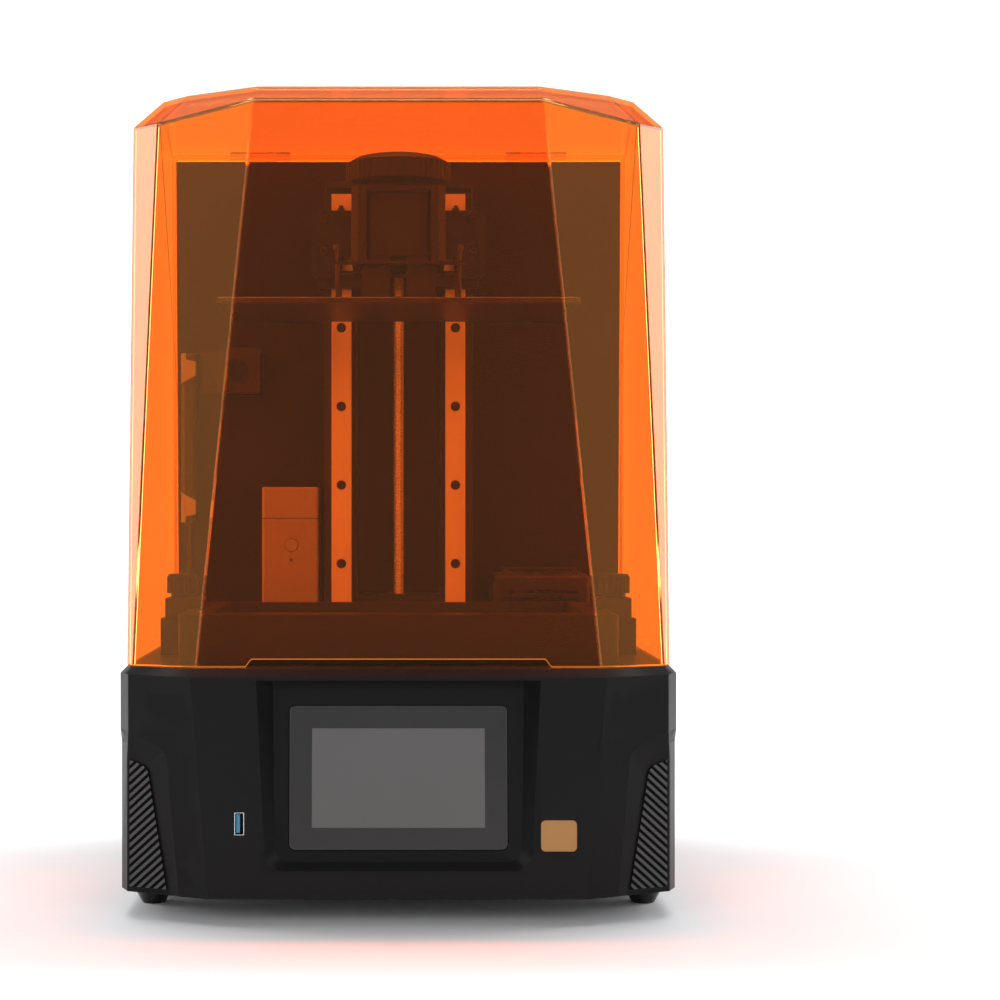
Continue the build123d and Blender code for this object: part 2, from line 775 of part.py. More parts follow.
# ---- Z axis ----
with BuildPart() as z_column:
    block(-COLUMN_HALF, COLUMN_HALF, COLUMN_D, COVER_REAR, CASE_TOP, COLUMN_TOP)
    block(
        -CHANNEL_HALF,
        CHANNEL_HALF,
        COLUMN_D,
        COLUMN_D + CHANNEL_DEEP,
        CASE_TOP,
        COLUMN_TOP,
        mode=Mode.SUBTRACT,
    )
    for side in (-1, 1):
        # hollow legs, and a groove along each side
        low, high = sorted((side * 37, side * 52))
        block(low, high, 285, COVER_REAR - 3, CASE_TOP, COLUMN_TOP - 4, mode=Mode.SUBTRACT)
        low, high = sorted((side * (COLUMN_HALF - 2), side * COLUMN_HALF))
        block(low, high, 296, 304, CASE_TOP, COLUMN_TOP, mode=Mode.SUBTRACT)

rail_heights = [RAIL_HOLE_LOW + RAIL_PITCH * number for number in range(RAIL_HOLES)]
rail_face = COLUMN_D - RAIL_W
with BuildPart() as linear_rails:
    for x in (-RAIL_X, RAIL_X):
        block(x - RAIL_W / 2, x + RAIL_W / 2, rail_face, COLUMN_D, RAIL_LOW, RAIL_TOP)
        for side in (-1, 1):
            # the ball grooves along each flank
            flank = x + side * RAIL_W / 2
            low, high = sorted((flank, flank - side * 1.2))
            block(low, high, rail_face + 5, rail_face + 8, RAIL_LOW, RAIL_TOP, mode=Mode.SUBTRACT)
        for z in rail_heights:
            dowel(3.75, x, rail_face, rail_face + 5.3, z, mode=Mode.SUBTRACT)
            dowel(2.25, x, rail_face + 5.3, COLUMN_D, z, mode=Mode.SUBTRACT)

with BuildPart() as rail_screws:
    for x in (-RAIL_X, RAIL_X):
        for z in rail_heights:
            dowel(3.5, x, rail_face + 1.3, rail_face + 5.3, z)
            dowel(2, x, rail_face + 5.3, COLUMN_D, z)
    with BuildSketch(Plane.XZ.offset(-depth(rail_face + 1.3))):
        with Locations(*[(x, z) for x in (-RAIL_X, RAIL_X) for z in rail_heights]):
            RegularPolygon(1.7, 6)
    extrude(amount=-2, mode=Mode.SUBTRACT)

MOTOR_HALF = 21
MOTOR_LOW = 112
SCREW_LOW = 130
SCREW_TOP = 508
with BuildPart() as z_motor:
    with Locations((0, depth(SCREW_D), (MOTOR_LOW + DECK_LOW) / 2)):
        Box(2 * MOTOR_HALF, 2 * MOTOR_HALF, DECK_LOW - MOTOR_LOW)
    chamfer(z_motor.edges().filter_by(Axis.Z), length=4)
    post(SCREW_R + RUNNING, 0, SCREW_D, SCREW_LOW - 1, DECK_LOW, mode=Mode.SUBTRACT)

with BuildPart() as lead_screw:
    post(SCREW_R, 0, SCREW_D, SCREW_LOW, SCREW_TOP)

with BuildPart() as screw_bearings:
    for low, high in ((188, 201), (498, 507)):
        block(-CHANNEL_HALF, CHANNEL_HALF, 276, COLUMN_D + CHANNEL_DEEP, low, high)
        post(SCREW_R + RUNNING, 0, SCREW_D, low, high, mode=Mode.SUBTRACT)

# ---- carriage, which rides on both rails ----
block_face = COLUMN_D - BLOCK_HIGH
BLOCK_CLEAR = 0.3
with BuildPart() as linear_blocks:
    for x in (-RAIL_X, RAIL_X):
        block(
            x - BLOCK_W / 2,
            x + BLOCK_W / 2,
            block_face,
            COLUMN_D - 4.3,
            BLOCK_LOW,
            BLOCK_LOW + BLOCK_LONG,
        )
    chamfer(linear_blocks.edges().filter_by(Axis.Z), length=1.5)
    for x in (-RAIL_X, RAIL_X):
        block(
            x - RAIL_W / 2 - BLOCK_CLEAR,
            x + RAIL_W / 2 + BLOCK_CLEAR,
            rail_face - BLOCK_CLEAR,
            COLUMN_D,
            BLOCK_LOW,
            BLOCK_LOW + BLOCK_LONG,
            mode=Mode.SUBTRACT,
        )
        # grease nipple
        post(2.7, x, block_face + 6, BLOCK_LOW + BLOCK_LONG, BLOCK_LOW + BLOCK_LONG + NIPPLE_HIGH)

CARRIAGE_HALF = 65
CARRIAGE_THICK = 10
CARRIAGE_TOP = 491
NOTCH_HALF = 44
NOTCH_TOP = 455
BOLT_ROWS = (461, 485)
carriage_face = block_face - CARRIAGE_THICK
with BuildPart() as carriage_plate:
    block(-CARRIAGE_HALF, CARRIAGE_HALF, carriage_face, block_face, ARM_LOW, CARRIAGE_TOP)
    chamfer(carriage_plate.edges().filter_by(Axis.Y), length=4)
    # a wide notch below shows the rails and the screw
    block(
        -NOTCH_HALF,
        NOTCH_HALF,
        carriage_face,
        block_face,
        ARM_LOW,
        NOTCH_TOP,
        mode=Mode.SUBTRACT,
    )
    for x in (-RAIL_X, RAIL_X):
        for across in (-12, 12):
            for z in BOLT_ROWS:
                dowel(2.25, x + across, carriage_face, block_face, z, mode=Mode.SUBTRACT)
                dowel(4, x + across, carriage_face, carriage_face + 4, z, mode=Mode.SUBTRACT)

NUT_BLOCK_LOW = 459
NUT_BLOCK_TOP = 481
NUT_LOW = 449
NUT_FLANGE = 4
NUT_R = 6.2
with BuildPart() as nut_block:
    block(-18, 18, block_face, 306, NUT_BLOCK_LOW, NUT_BLOCK_TOP)
    fillet(nut_block.edges().filter_by(Axis.Z).sort_by(Axis.Y)[-2:], radius=6)
    post(NUT_R, 0, SCREW_D, NUT_BLOCK_LOW, NUT_BLOCK_TOP, mode=Mode.SUBTRACT)

with BuildPart() as screw_nut:
    post(NUT_R, 0, SCREW_D, NUT_LOW, NUT_BLOCK_TOP)
    post(11, 0, SCREW_D, NUT_BLOCK_TOP, NUT_BLOCK_TOP + NUT_FLANGE)
    post(
        SCREW_R + RUNNING,
        0,
        SCREW_D,
        NUT_LOW,
        NUT_BLOCK_TOP + NUT_FLANGE,
        mode=Mode.SUBTRACT,
    )

MOUNT_HALF = 22
MOUNT_TOP = 489.2
MOUNT_LOW = 444.6
MOUNT_GAP = 0.5
CAP_HALF = 51
CAP_D = (139, 166)
ARM_HALF = 33
mount_front = PLATE_MID_D - MOUNT_HALF
mount_rear = PLATE_MID_D + MOUNT_HALF
STUD_R = 5
with BuildPart() as plate_arm:
    block(-ARM_HALF, ARM_HALF, 125, carriage_face, ARM_LOW, ARM_TOP)
    chamfer(plate_arm.edges().filter_by(Axis.Z).sort_by(Axis.Y)[:2], length=5)
    block(-ARM_HALF, ARM_HALF, CAP_D[0], 224, ARM_TOP, ARM_CAP_TOP)
    block(-CAP_HALF, CAP_HALF, *CAP_D, ARM_TOP, ARM_CAP_TOP)
    block(
        -MOUNT_HALF - MOUNT_GAP,
        MOUNT_HALF + MOUNT_GAP,
        120,
        mount_rear + MOUNT_GAP,
        ARM_LOW,
        MOUNT_TOP,
        mode=Mode.SUBTRACT,
    )
    post(STUD_R + RUNNING, 0, PLATE_MID_D, MOUNT_TOP, ARM_CAP_TOP, mode=Mode.SUBTRACT)

# The plate hangs from two legs with a see-through gap between them. Four long screws level it.
LEG_X = (6, 26)
PAD_TOP = 414
BAR_HALF = 46
MOUNT_BAR_Z = (437.7, 439.7)
LEVEL_X = 42.5
LEVEL_SPREAD = 30.5
LEVEL_R = 1.5
LEVEL_TOP = 451
with BuildPart() as plate_mount:
    block(-MOUNT_HALF, MOUNT_HALF, mount_front, mount_rear, MOUNT_LOW, MOUNT_TOP)
    chamfer(plate_mount.edges().filter_by(Axis.Z), length=2)
    for side in (-1, 1):
        low, high = sorted((side * LEG_X[0], side * (MOUNT_HALF - 1)))
        block(low, high, mount_front + 1, mount_rear - 1, MOUNT_BAR_Z[1], MOUNT_LOW)
        low, high = sorted((side * LEG_X[0], side * LEG_X[1]))
        block(low, high, mount_front, mount_rear, PAD_TOP, MOUNT_BAR_Z[1])
    for d in (PLATE_MID_D - LEVEL_SPREAD, PLATE_MID_D + LEVEL_SPREAD):
        block(-BAR_HALF, BAR_HALF, d - 4, d + 4, *MOUNT_BAR_Z)
        # a rib ties the cross-bar to the legs
        rib = sorted((d, PLATE_MID_D))
        for side in (-1, 1):
            low, high = sorted((side * 12, side * 20))
            block(low, high, *rib, *MOUNT_BAR_Z)
        for x in (-LEVEL_X, LEVEL_X):
            post(LEVEL_R + RUNNING, x, d, *MOUNT_BAR_Z, mode=Mode.SUBTRACT)

with BuildPart() as levelling_screws:
    for x in (-LEVEL_X, LEVEL_X):
        for d in (PLATE_MID_D - LEVEL_SPREAD, PLATE_MID_D + LEVEL_SPREAD):
            post(LEVEL_R, x, d, PAD_TOP - 1, LEVEL_TOP - 4)
            post(2.8, x, d, LEVEL_TOP - 4, LEVEL_TOP)
            post(1.4, x, d, LEVEL_TOP - 2, LEVEL_TOP, mode=Mode.SUBTRACT)

with BuildPart() as build_plate:
    with Locations((0, depth(PLATE_MID_D), (PLATE_LOW + PLATE_TOP) / 2)):
        Box(PLATE_W, PLATE_L, PLATE_TOP - PLATE_LOW)
    fillet(build_plate.edges().filter_by(Axis.Z), radius=3)
    chamfer(build_plate.faces().sort_by(Axis.Z)[-1].edges(), length=0.8)
    block(-30, 30, PLATE_MID_D - 40, PLATE_MID_D + 40, PLATE_TOP, PAD_TOP)
    for x in (-LEVEL_X, LEVEL_X):
        for d in (PLATE_MID_D - LEVEL_SPREAD, PLATE_MID_D + LEVEL_SPREAD):
            post(4, x, d, PLATE_TOP, PAD_TOP - 1)

KNOB_LOW = ARM_CAP_TOP + 0.5
KNOB_SHOULDER = 512
KNOB_BEND_R = 30
KNOB_BEND = 516.2
KNOB_TOP_R = 24
knob_top = KNOB_LOW + KNOB_HIGH
with BuildPart() as plate_knob:
    post(KNOB_R, 0, PLATE_MID_D, KNOB_LOW, KNOB_SHOULDER)
    chamfer(plate_knob.edges().group_by(Axis.Z)[0], length=1)
    with Locations((0, depth(PLATE_MID_D), KNOB_SHOULDER)):
        Cone(KNOB_R, KNOB_BEND_R, KNOB_BEND - KNOB_SHOULDER, align=rising)
    with Locations((0, depth(PLATE_MID_D), KNOB_BEND)):
        Cone(KNOB_BEND_R, KNOB_TOP_R, knob_top - KNOB_BEND, align=rising)
    # three grips of fine grooves with smooth stretches between them, one of which faces the front
    for grip in (-30, 90, 210):
        for groove in range(-4, 5):
            turn = radians(grip + 7 * groove)
            x = (KNOB_R + 0.7) * cos(turn)
            d = PLATE_MID_D + (KNOB_R + 0.7) * sin(turn)
            post(1.7, x, d, KNOB_LOW, knob_top, mode=Mode.SUBTRACT)
    post(12, 0, PLATE_MID_D, knob_top - 1.5, knob_top, mode=Mode.SUBTRACT)
    post(STUD_R, 0, PLATE_MID_D, MOUNT_TOP + 0.2, KNOB_LOW)

# ---- vat ----
RING_HALF = 133
RING_D = (73, 235)
SEAT_HOLES = [(x, d) for x in (-139, 139) for d in (62, 118, 182, 228)]
EAR_LOW = 190
EAR_TOP = 204
with BuildPart() as vat_frame:
    block(-VAT_HALF, VAT_HALF, VAT_FRONT_D, VAT_REAR_D, CASE_TOP, VAT_TOP)
    fillet(vat_frame.edges().filter_by(Axis.Z), radius=8)
    for side in (-1, 1):
        low, high = sorted((side * (VAT_HALF - 8), side * (CLAMP_X + 10)))
        block(low, high, CLAMP_D - 20, CLAMP_D + 20, EAR_LOW, EAR_TOP)
    with Locations((0, depth(PLATE_MID_D), CASE_TOP)):
        Box(VAT_OPEN_W, VAT_OPEN_L, 100, mode=Mode.SUBTRACT)
    block(-RING_HALF, RING_HALF, *RING_D, CASE_TOP, FILM_LOW + FILM_THICK, mode=Mode.SUBTRACT)
    for side in (-1, 1):
        # a notch, open to the outside, lets the clamp screw swing clear
        low, high = sorted((side * (CLAMP_X - 4), side * (CLAMP_X + 12)))
        block(low, high, CLAMP_D - 4, CLAMP_D + 4, EAR_LOW, EAR_TOP, mode=Mode.SUBTRACT)
    for x, d in SEAT_HOLES:
        post(3.5, x, d, VAT_TOP - 4, VAT_TOP, mode=Mode.SUBTRACT)

with BuildPart() as vat_film:
    block(-RING_HALF, RING_HALF, *RING_D, FILM_LOW, FILM_LOW + FILM_THICK)

with BuildPart() as film_ring:
    block(-RING_HALF, RING_HALF, *RING_D, CASE_TOP + 0.3, FILM_LOW)
    with Locations((0, depth(PLATE_MID_D), CASE_TOP)):
        Box(VAT_OPEN_W - 1, VAT_OPEN_L - 1, 20, mode=Mode.SUBTRACT)

with BuildPart() as vat_screws:
    for x, d in SEAT_HOLES:
        post(3.5, x, d, VAT_TOP - 4, VAT_TOP - 0.6)
        post(1.7, x, d, VAT_TOP - 2.4, VAT_TOP - 0.6, mode=Mode.SUBTRACT)

CLAMP_STUD_R = 3
with BuildPart() as vat_clamps:
    for side in (-1, 1):
        low, high = sorted((side * (VAT_HALF + 0.6), side * (CLAMP_X + 14)))
        block(low, high, CLAMP_D - 14, CLAMP_D + 14, CASE_TOP, EAR_LOW - 0.3)
        post(CLAMP_STUD_R + RUNNING, side * CLAMP_X, CLAMP_D, 170, EAR_LOW, mode=Mode.SUBTRACT)


def clamp_knob(x):
    """A knurled thumb knob with its screw."""
    with BuildPart() as knob:
        post(10, x, CLAMP_D, CLAMP_KNOB_LOW, CLAMP_KNOB_LOW + 13.5)
        with Locations((x, depth(CLAMP_D), CLAMP_KNOB_LOW)):
            with PolarLocations(9.4, 18):
                Cylinder(1.6, 12, align=rising)
        post(8, x, CLAMP_D, EAR_TOP + 0.3, CLAMP_KNOB_LOW)
        post(CLAMP_STUD_R, x, CLAMP_D, 172, CLAMP_KNOB_LOW)
    return knob


vat_knob_left = clamp_knob(-CLAMP_X)
vat_knob_right = clamp_knob(CLAMP_X)

# ---- air purifier, heater, camera and light bar in the chamber ----
PURIFIER_X = (-104.5, -61.5)
PURIFIER_D = (262, 322)
PURIFIER_SPLIT = 259
PURIFIER_TOP = 283.5
BUTTON_X = -82
BUTTON_Z = 239
BUTTON_R = 5
BUTTON_SHOW = 1.2
with BuildPart() as purifier_case:
    block(*PURIFIER_X, *PURIFIER_D, CASE_TOP, PURIFIER_SPLIT)
    fillet(purifier_case.edges().filter_by(Axis.Z), radius=3)
    block(-102.5, -63.5, 264, 320, CASE_TOP + 2, PURIFIER_SPLIT, mode=Mode.SUBTRACT)
    dowel(BUTTON_R + 0.3, BUTTON_X, PURIFIER_D[0], 270, BUTTON_Z, mode=Mode.SUBTRACT)
    dowel(1.2, BUTTON_X, PURIFIER_D[0], 270, 227.8, mode=Mode.SUBTRACT)
    dowel(BUTTON_R + 2, BUTTON_X, 264, 275, BUTTON_Z)
    dowel(BUTTON_R + 0.3, BUTTON_X, PURIFIER_D[0], 271, BUTTON_Z, mode=Mode.SUBTRACT)

with BuildPart() as purifier_cap:
    block(*PURIFIER_X, *PURIFIER_D, PURIFIER_SPLIT + 0.6, PURIFIER_TOP)
    fillet(purifier_cap.edges().filter_by(Axis.Z), radius=3)
    fillet(purifier_cap.faces().sort_by(Axis.Z)[-1].edges(), radius=1.5)
    block(-102.3, -63.7, 264.2, 319.8, PURIFIER_SPLIT - 6, PURIFIER_SPLIT + 0.6)
    block(-100.5, -65.5, 266, 318, PURIFIER_SPLIT - 6, PURIFIER_TOP - 2, mode=Mode.SUBTRACT)
    for row in range(5):
        block(-96, -70, 270 + 10 * row, 275 + 10 * row, PURIFIER_TOP - 2, PURIFIER_TOP, mode=Mode.SUBTRACT)

with BuildPart() as purifier_button:
    dowel(BUTTON_R, BUTTON_X, PURIFIER_D[0] - BUTTON_SHOW, 269, BUTTON_Z)
    fillet(purifier_button.faces().sort_by(Axis.Y)[0].edges(), radius=0.6)

HEATER_X = (71.6, 146.6)
HEATER_D = (262, 322)
HEATER_TOP = 217
HEATER_MID = (109.1, 292)
with BuildPart() as heater_case:
    block(*HEATER_X, *HEATER_D, CASE_TOP, HEATER_TOP)
    fillet(heater_case.edges().filter_by(Axis.Z), radius=4)
    chamfer(heater_case.faces().sort_by(Axis.Z)[-1].edges(), length=3)
    block(74.1, 144.1, 264.5, 319.5, CASE_TOP + 3, HEATER_TOP - 3, mode=Mode.SUBTRACT)
    for row in range(6):
        block(80, 138, HEATER_D[0], 266, 172 + 6 * row, 175 + 6 * row, mode=Mode.SUBTRACT)
    post(24, *HEATER_MID, HEATER_TOP - 3, HEATER_TOP, mode=Mode.SUBTRACT)
    for radius in (22.5, 15.5, 8.5):
        with Locations((HEATER_MID[0], depth(HEATER_MID[1]), HEATER_TOP - 2.5)):
            Torus(radius, 0.8)
    for turn in (0, 90):
        with Locations(
            Location((HEATER_MID[0], depth(HEATER_MID[1]), HEATER_TOP - 2), (0, 0, turn))
        ):
            Box(50, 3, 2)
    # a low handle along the front edge
    block(80, 137, 265.2, 268, HEATER_TOP, HEATER_TOP + 5)
    block(84, 133, 265.2, 268, HEATER_TOP, HEATER_TOP + 3.4, mode=Mode.SUBTRACT)
    post(7, *HEATER_MID, HEATER_TOP - 3, HEATER_TOP - 1)
    post(SPINDLE_R + RUNNING, *HEATER_MID, HEATER_TOP - 3, HEATER_TOP - 1, mode=Mode.SUBTRACT)

heater_rotor = fan_rotor(HEATER_MID, 23, 10, 196, HEATER_TOP - 4.5, 7, HEATER_TOP - 1.5)

CAMERA_X = -125.8
CAMERA_Z = 375
CAMERA_D = 302
with BuildPart() as camera_case:
    block(-142, -108.5, CAMERA_D, COVER_REAR - 4, 357.5, 393.5)
    fillet(camera_case.edges().filter_by(Axis.Y), radius=4)
    block(-157, -106, COVER_REAR - 4, COVER_REAR, 360, 391)
    dowel(9, CAMERA_X, CAMERA_D, CAMERA_D + 3, CAMERA_Z, mode=Mode.SUBTRACT)

with BuildPart() as camera_lens:
    dowel(8.9, CAMERA_X, CAMERA_D - 2, CAMERA_D + 3, CAMERA_Z)
    dowel(5.5, CAMERA_X, CAMERA_D - 2, CAMERA_D, CAMERA_Z, mode=Mode.SUBTRACT)

BAR_X = (-171.5, -160)
BAR_Z = (256, 390)
with BuildPart() as light_bar:
    block(*BAR_X, 316, COVER_REAR, *BAR_Z)
    chamfer(light_bar.faces().sort_by(Axis.Y)[0].edges(), length=2.5)
    block(BAR_X[0] + 4, BAR_X[0] + 7, 326, COVER_REAR, CASE_TOP, BAR_Z[0])

pieces = {
    "base_shell": base_shell,
    "base_plate": base_plate,
    "feet": feet,
    "deck_plate": deck_plate,
    "side_insert_left": side_insert_left,
    "side_insert_right": side_insert_right,
    "screen_glass": screen_glass,
    "display_panel": display_panel,
    "usb_port": usb_port,
    "usb_tongue": usb_tongue,
    "badge": badge,
    "lcd_panel": lcd_panel,
    "light_housing": light_housing,
    "led_board": led_board,
    "lens_plate": lens_plate,
    "heat_sink": heat_sink,
    "light_fan_frame": light_fan_frame,
    "light_fan_rotor": light_fan_rotor,
    "mainboard": mainboard,
    "power_supply": power_supply,
    "power_inlet": power_inlet,
    "switch_frame": switch_frame,
    "switch_rocker": switch_rocker,
    "back_wall": back_wall,
    "back_housing": back_housing,
    "hinge_brackets": hinge_brackets,
    "hinge_leaves": hinge_leaves,
    "hinge_pins": hinge_pins,
    "cover_hood": cover_hood,
    "z_column": z_column,
    "linear_rails": linear_rails,
    "rail_screws": rail_screws,
    "z_motor": z_motor,
    "lead_screw": lead_screw,
    "screw_bearings": screw_bearings,
    "linear_blocks": linear_blocks,
    "carriage_plate": carriage_plate,
    "nut_block": nut_block,
    "screw_nut": screw_nut,
    "plate_arm": plate_arm,
    "plate_mount": plate_mount,
    "levelling_screws": levelling_screws,
    "build_plate": build_plate,
    "plate_knob": plate_knob,
    "vat_frame": vat_frame,
    "vat_film": vat_film,
    "film_ring": film_ring,
    "vat_screws": vat_screws,
    "vat_clamps": vat_clamps,
    "vat_knob_left": vat_knob_left,
    "vat_knob_right": vat_knob_right,
    "purifier_case": purifier_case,
    "purifier_cap": purifier_cap,
    "purifier_button": purifier_button,
    "heater_case": heater_case,
    "heater_rotor": heater_rotor,
    "camera_case": camera_case,
    "camera_lens": camera_lens,
    "light_bar": light_bar,
}
for name, piece in pieces.items():
    piece.part.label = name
    export_step(piece.part, f"parts/{name}.step")
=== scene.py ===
import json
from math import cos, pi, radians, sin, tau

import bmesh
import bpy
from mathutils import Matrix, Vector


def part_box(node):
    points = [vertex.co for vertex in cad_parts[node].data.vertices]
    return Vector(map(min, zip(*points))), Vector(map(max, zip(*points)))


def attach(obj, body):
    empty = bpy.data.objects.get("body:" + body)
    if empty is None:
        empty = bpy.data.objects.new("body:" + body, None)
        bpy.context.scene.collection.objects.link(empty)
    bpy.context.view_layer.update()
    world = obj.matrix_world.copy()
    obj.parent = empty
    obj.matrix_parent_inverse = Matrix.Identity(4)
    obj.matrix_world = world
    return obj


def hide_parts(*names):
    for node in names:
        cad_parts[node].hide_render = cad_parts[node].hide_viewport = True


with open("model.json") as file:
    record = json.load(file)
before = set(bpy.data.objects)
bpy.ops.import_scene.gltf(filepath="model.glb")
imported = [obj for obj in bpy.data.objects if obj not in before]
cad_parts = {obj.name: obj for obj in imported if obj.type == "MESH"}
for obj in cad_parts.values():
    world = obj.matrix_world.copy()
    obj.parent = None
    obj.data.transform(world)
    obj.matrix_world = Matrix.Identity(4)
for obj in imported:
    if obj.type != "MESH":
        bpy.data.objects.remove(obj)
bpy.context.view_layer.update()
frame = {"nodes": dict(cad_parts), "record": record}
scene = bpy.context.scene
MM = 0.001
body_of = {
    node: body
    for body, members in frame["record"]["behaviour"]["bodies"].items()
    for node in members
}
slot_of = {part["node"]: part["material_slot"] for part in frame["record"]["subparts"]}


# ---- camera, floor and light ----
CAMERA_AT = (0.0, -1.5005, 0.266)
LENS_MM = 73.8
SHIFT = (0.1016, 0.0100)


def add_camera():
    camera = bpy.data.cameras.new("camera")
    camera.lens = LENS_MM
    camera.sensor_width = 36
    camera.shift_x, camera.shift_y = SHIFT
    camera.clip_start = 0.01
    holder = bpy.data.objects.new("camera", camera)
    holder.location = CAMERA_AT
    holder.rotation_euler = (pi / 2, 0, 0)
    scene.collection.objects.link(holder)
    scene.camera = holder


def add_softbox(name, place, target, size, power, colour=(1, 1, 1)):
    lamp = bpy.data.lights.new(name, "AREA")
    lamp.shape = "RECTANGLE"
    lamp.size, lamp.size_y = size
    lamp.energy = power
    lamp.color = colour
    holder = bpy.data.objects.new(name, lamp)
    holder.location = place
    aim = Vector(target) - Vector(place)
    holder.rotation_euler = aim.to_track_quat("-Z", "Y").to_euler()
    scene.collection.objects.link(holder)


def add_studio():
    """A pale floor that curves up into a pale backdrop, and soft light from both sides and above."""
    half_width, front, back, sweep, top = 6.0, -2.0, 3.0, 0.7, 1.75
    steps = 12
    profile = [(front, 0.0), (back - sweep, 0.0)]
    for step in range(1, steps + 1):
        angle = step / steps * pi / 2
        profile.append((back - sweep + sweep * sin(angle), sweep - sweep * cos(angle)))
    profile.append((back, top))
    build = bmesh.new()
    rows = [[build.verts.new((x, y, z)) for x in (-half_width, half_width)] for y, z in profile]
    for low, high in zip(rows, rows[1:]):
        build.faces.new((low[0], low[1], high[1], high[0])).smooth = True
    sweep_mesh = bpy.data.meshes.new("studio_sweep")
    build.to_mesh(sweep_mesh)
    build.free()
    floor = bpy.data.objects.new("studio_sweep", sweep_mesh)
    scene.collection.objects.link(floor)
    paper = bpy.data.materials.new("studio_paper")
    paper.use_nodes = True
    paint = paper.node_tree.nodes["Principled BSDF"]
    paint.inputs["Base Color"].default_value = (0.80, 0.80, 0.81, 1)
    paint.inputs["Roughness"].default_value = 0.85
    floor.data.materials.append(paper)
    world = bpy.data.worlds.new("studio")
    world.use_nodes = True
    world.node_tree.nodes["Background"].inputs["Color"].default_value = (0.92, 0.95, 1.0, 1)
    world.node_tree.nodes["Background"].inputs["Strength"].default_value = 0.14
    scene.world = world
    middle = (0, 0, 0.28)
    for side in (-1, 1):
        add_softbox(f"fill_{side}", (1.8 * side, -1.6, 0.95), middle, (1.3, 2.0), 6)
        add_softbox(f"key_{side}", (1.0 * side, -1.7, 0.65), middle, (0.9, 0.9), 9.5)
        add_softbox(f"edge_{side}", (2.0 * side, 0.5, 0.9), middle, (0.8, 1.6), 22)
        add_softbox(f"overhead_{side}", (1.1 * side, 0.0, 2.4), middle, (0.8, 1.8), 8)
    add_softbox("backdrop_light", (0, 0.9, 3.6), (0, 3.0, 0.9), (3.5, 0.8), 180)
    scene.view_settings.view_transform = "Standard"


# ---- materials ----
# the cover's sheet: its tints, its sheen, the colours of its painted glow, and how clear it is
SHEET_TINT = (0.95, 0.33, 0.09)
# paler tint for the slanted corner facets: painted sheen
CORNER_SHEEN_TINT = (0.92, 0.48, 0.10)
SHEET_SHEEN = (1.0, 0.42, 0.16)
SHEET_GLOW = (1.0, 0.37, 0.05)
# colour of the painted glow near the rear edge
REAR_GLOW_COLOUR = (1.0, 0.50, 0.08)
# colour of the painted glow where the sheet is looked through face on
FACING_GLOW = (0.36, 0.70, 0.60)
SHEET_CLEAR = 0.985
# where a sheet counts as looked at steeply, and how much of its gloss is left out there
STEEP_FROM = 0.48
STEEP_FULL = 0.88
STEEP_SHARE = 0.9
# extra painted glow towards the cut edge at the rear, between two depths
REAR_GLOW = 0.42
REAR_REACH = (45 * MM, 135 * MM)
# the share of the painted glow that lights other things
SPILL = 0.15
# powers of the tint for one pass through the sheet's face, seen and in its shadow
DEEP_POWER = 0.6
SHADOW_POWER = 0.5


class Finish:
    """A material under construction: its nodes, its main shader and the object's own coordinates."""

    def __init__(self, name):
        self.material = bpy.data.materials.new(name)
        self.material.use_nodes = True
        self.tree = self.material.node_tree
        self.shader = self.tree.nodes["Principled BSDF"]
        self.place = self.add("ShaderNodeTexCoord").outputs["Object"]

    def add(self, kind, **values):
        node = self.tree.nodes.new(kind)
        for key, value in values.items():
            setattr(node, key, value)
        return node

    def link(self, source, target):
        self.tree.links.new(source, target)

    def set(self, **values):
        for key, value in values.items():
            self.shader.inputs[key.replace("_", " ")].default_value = value

    def colour(self, source):
        self.link(source, self.shader.inputs["Base Color"])

    def roughness(self, source):
        self.link(source, self.shader.inputs["Roughness"])

    def stretched(self, scale=(1, 1, 1), turn=(0, 0, 0)):
        """The object's coordinates, turned and scaled by axis."""
        mapping = self.add("ShaderNodeMapping")
        mapping.inputs["Scale"].default_value = scale
        mapping.inputs["Rotation"].default_value = turn
        self.link(self.place, mapping.inputs["Vector"])
        return mapping.outputs["Vector"]

    def noise(self, scale, detail=2.0, rough=0.5, vector=None):
        node = self.add("ShaderNodeTexNoise")
        node.inputs["Scale"].default_value = scale
        node.inputs["Detail"].default_value = detail
        node.inputs["Roughness"].default_value = rough
        self.link(vector or self.place, node.inputs["Vector"])
        return node.outputs["Fac"]

    def ranged(self, source, low, high, from_low=0.0, from_high=1.0):
        node = self.add("ShaderNodeMapRange")
        node.inputs["From Min"].default_value = from_low
        node.inputs["From Max"].default_value = from_high
        node.inputs["To Min"].default_value = low
        node.inputs["To Max"].default_value = high
        self.link(source, node.inputs["Value"])
        return node.outputs["Result"]

    def maths(self, operation, first, second=None):
        node = self.add("ShaderNodeMath", operation=operation)
        for socket, value in zip(node.inputs, (first, second)):
            if isinstance(value, (int, float)):
                socket.default_value = value
            elif value is not None:
                self.link(value, socket)
        return node.outputs["Value"]

    def mixed(self, share, first, second):
        """One colour turning into another as share goes from 0 to 1."""
        node = self.add("ShaderNodeMix", data_type="RGBA")
        for socket, value in ((node.inputs[6], first), (node.inputs[7], second)):
            if isinstance(value, tuple):
                socket.default_value = (*value, 1)
            else:
                self.link(value, socket)
        self.link(share, node.inputs[0])
        return node.outputs[2]

    def bump(self, height, strength, distance):
        node = self.add("ShaderNodeBump")
        node.inputs["Strength"].default_value = strength
        node.inputs["Distance"].default_value = distance
        self.link(height, node.inputs["Height"])
        before = self.shader.inputs["Normal"]
        if before.is_linked:
            self.link(before.links[0].from_socket, node.inputs["Normal"])
        self.link(node.outputs["Normal"], before)


def shade(colour, share):
    return tuple(min(1.0, share * channel) for channel in colour)


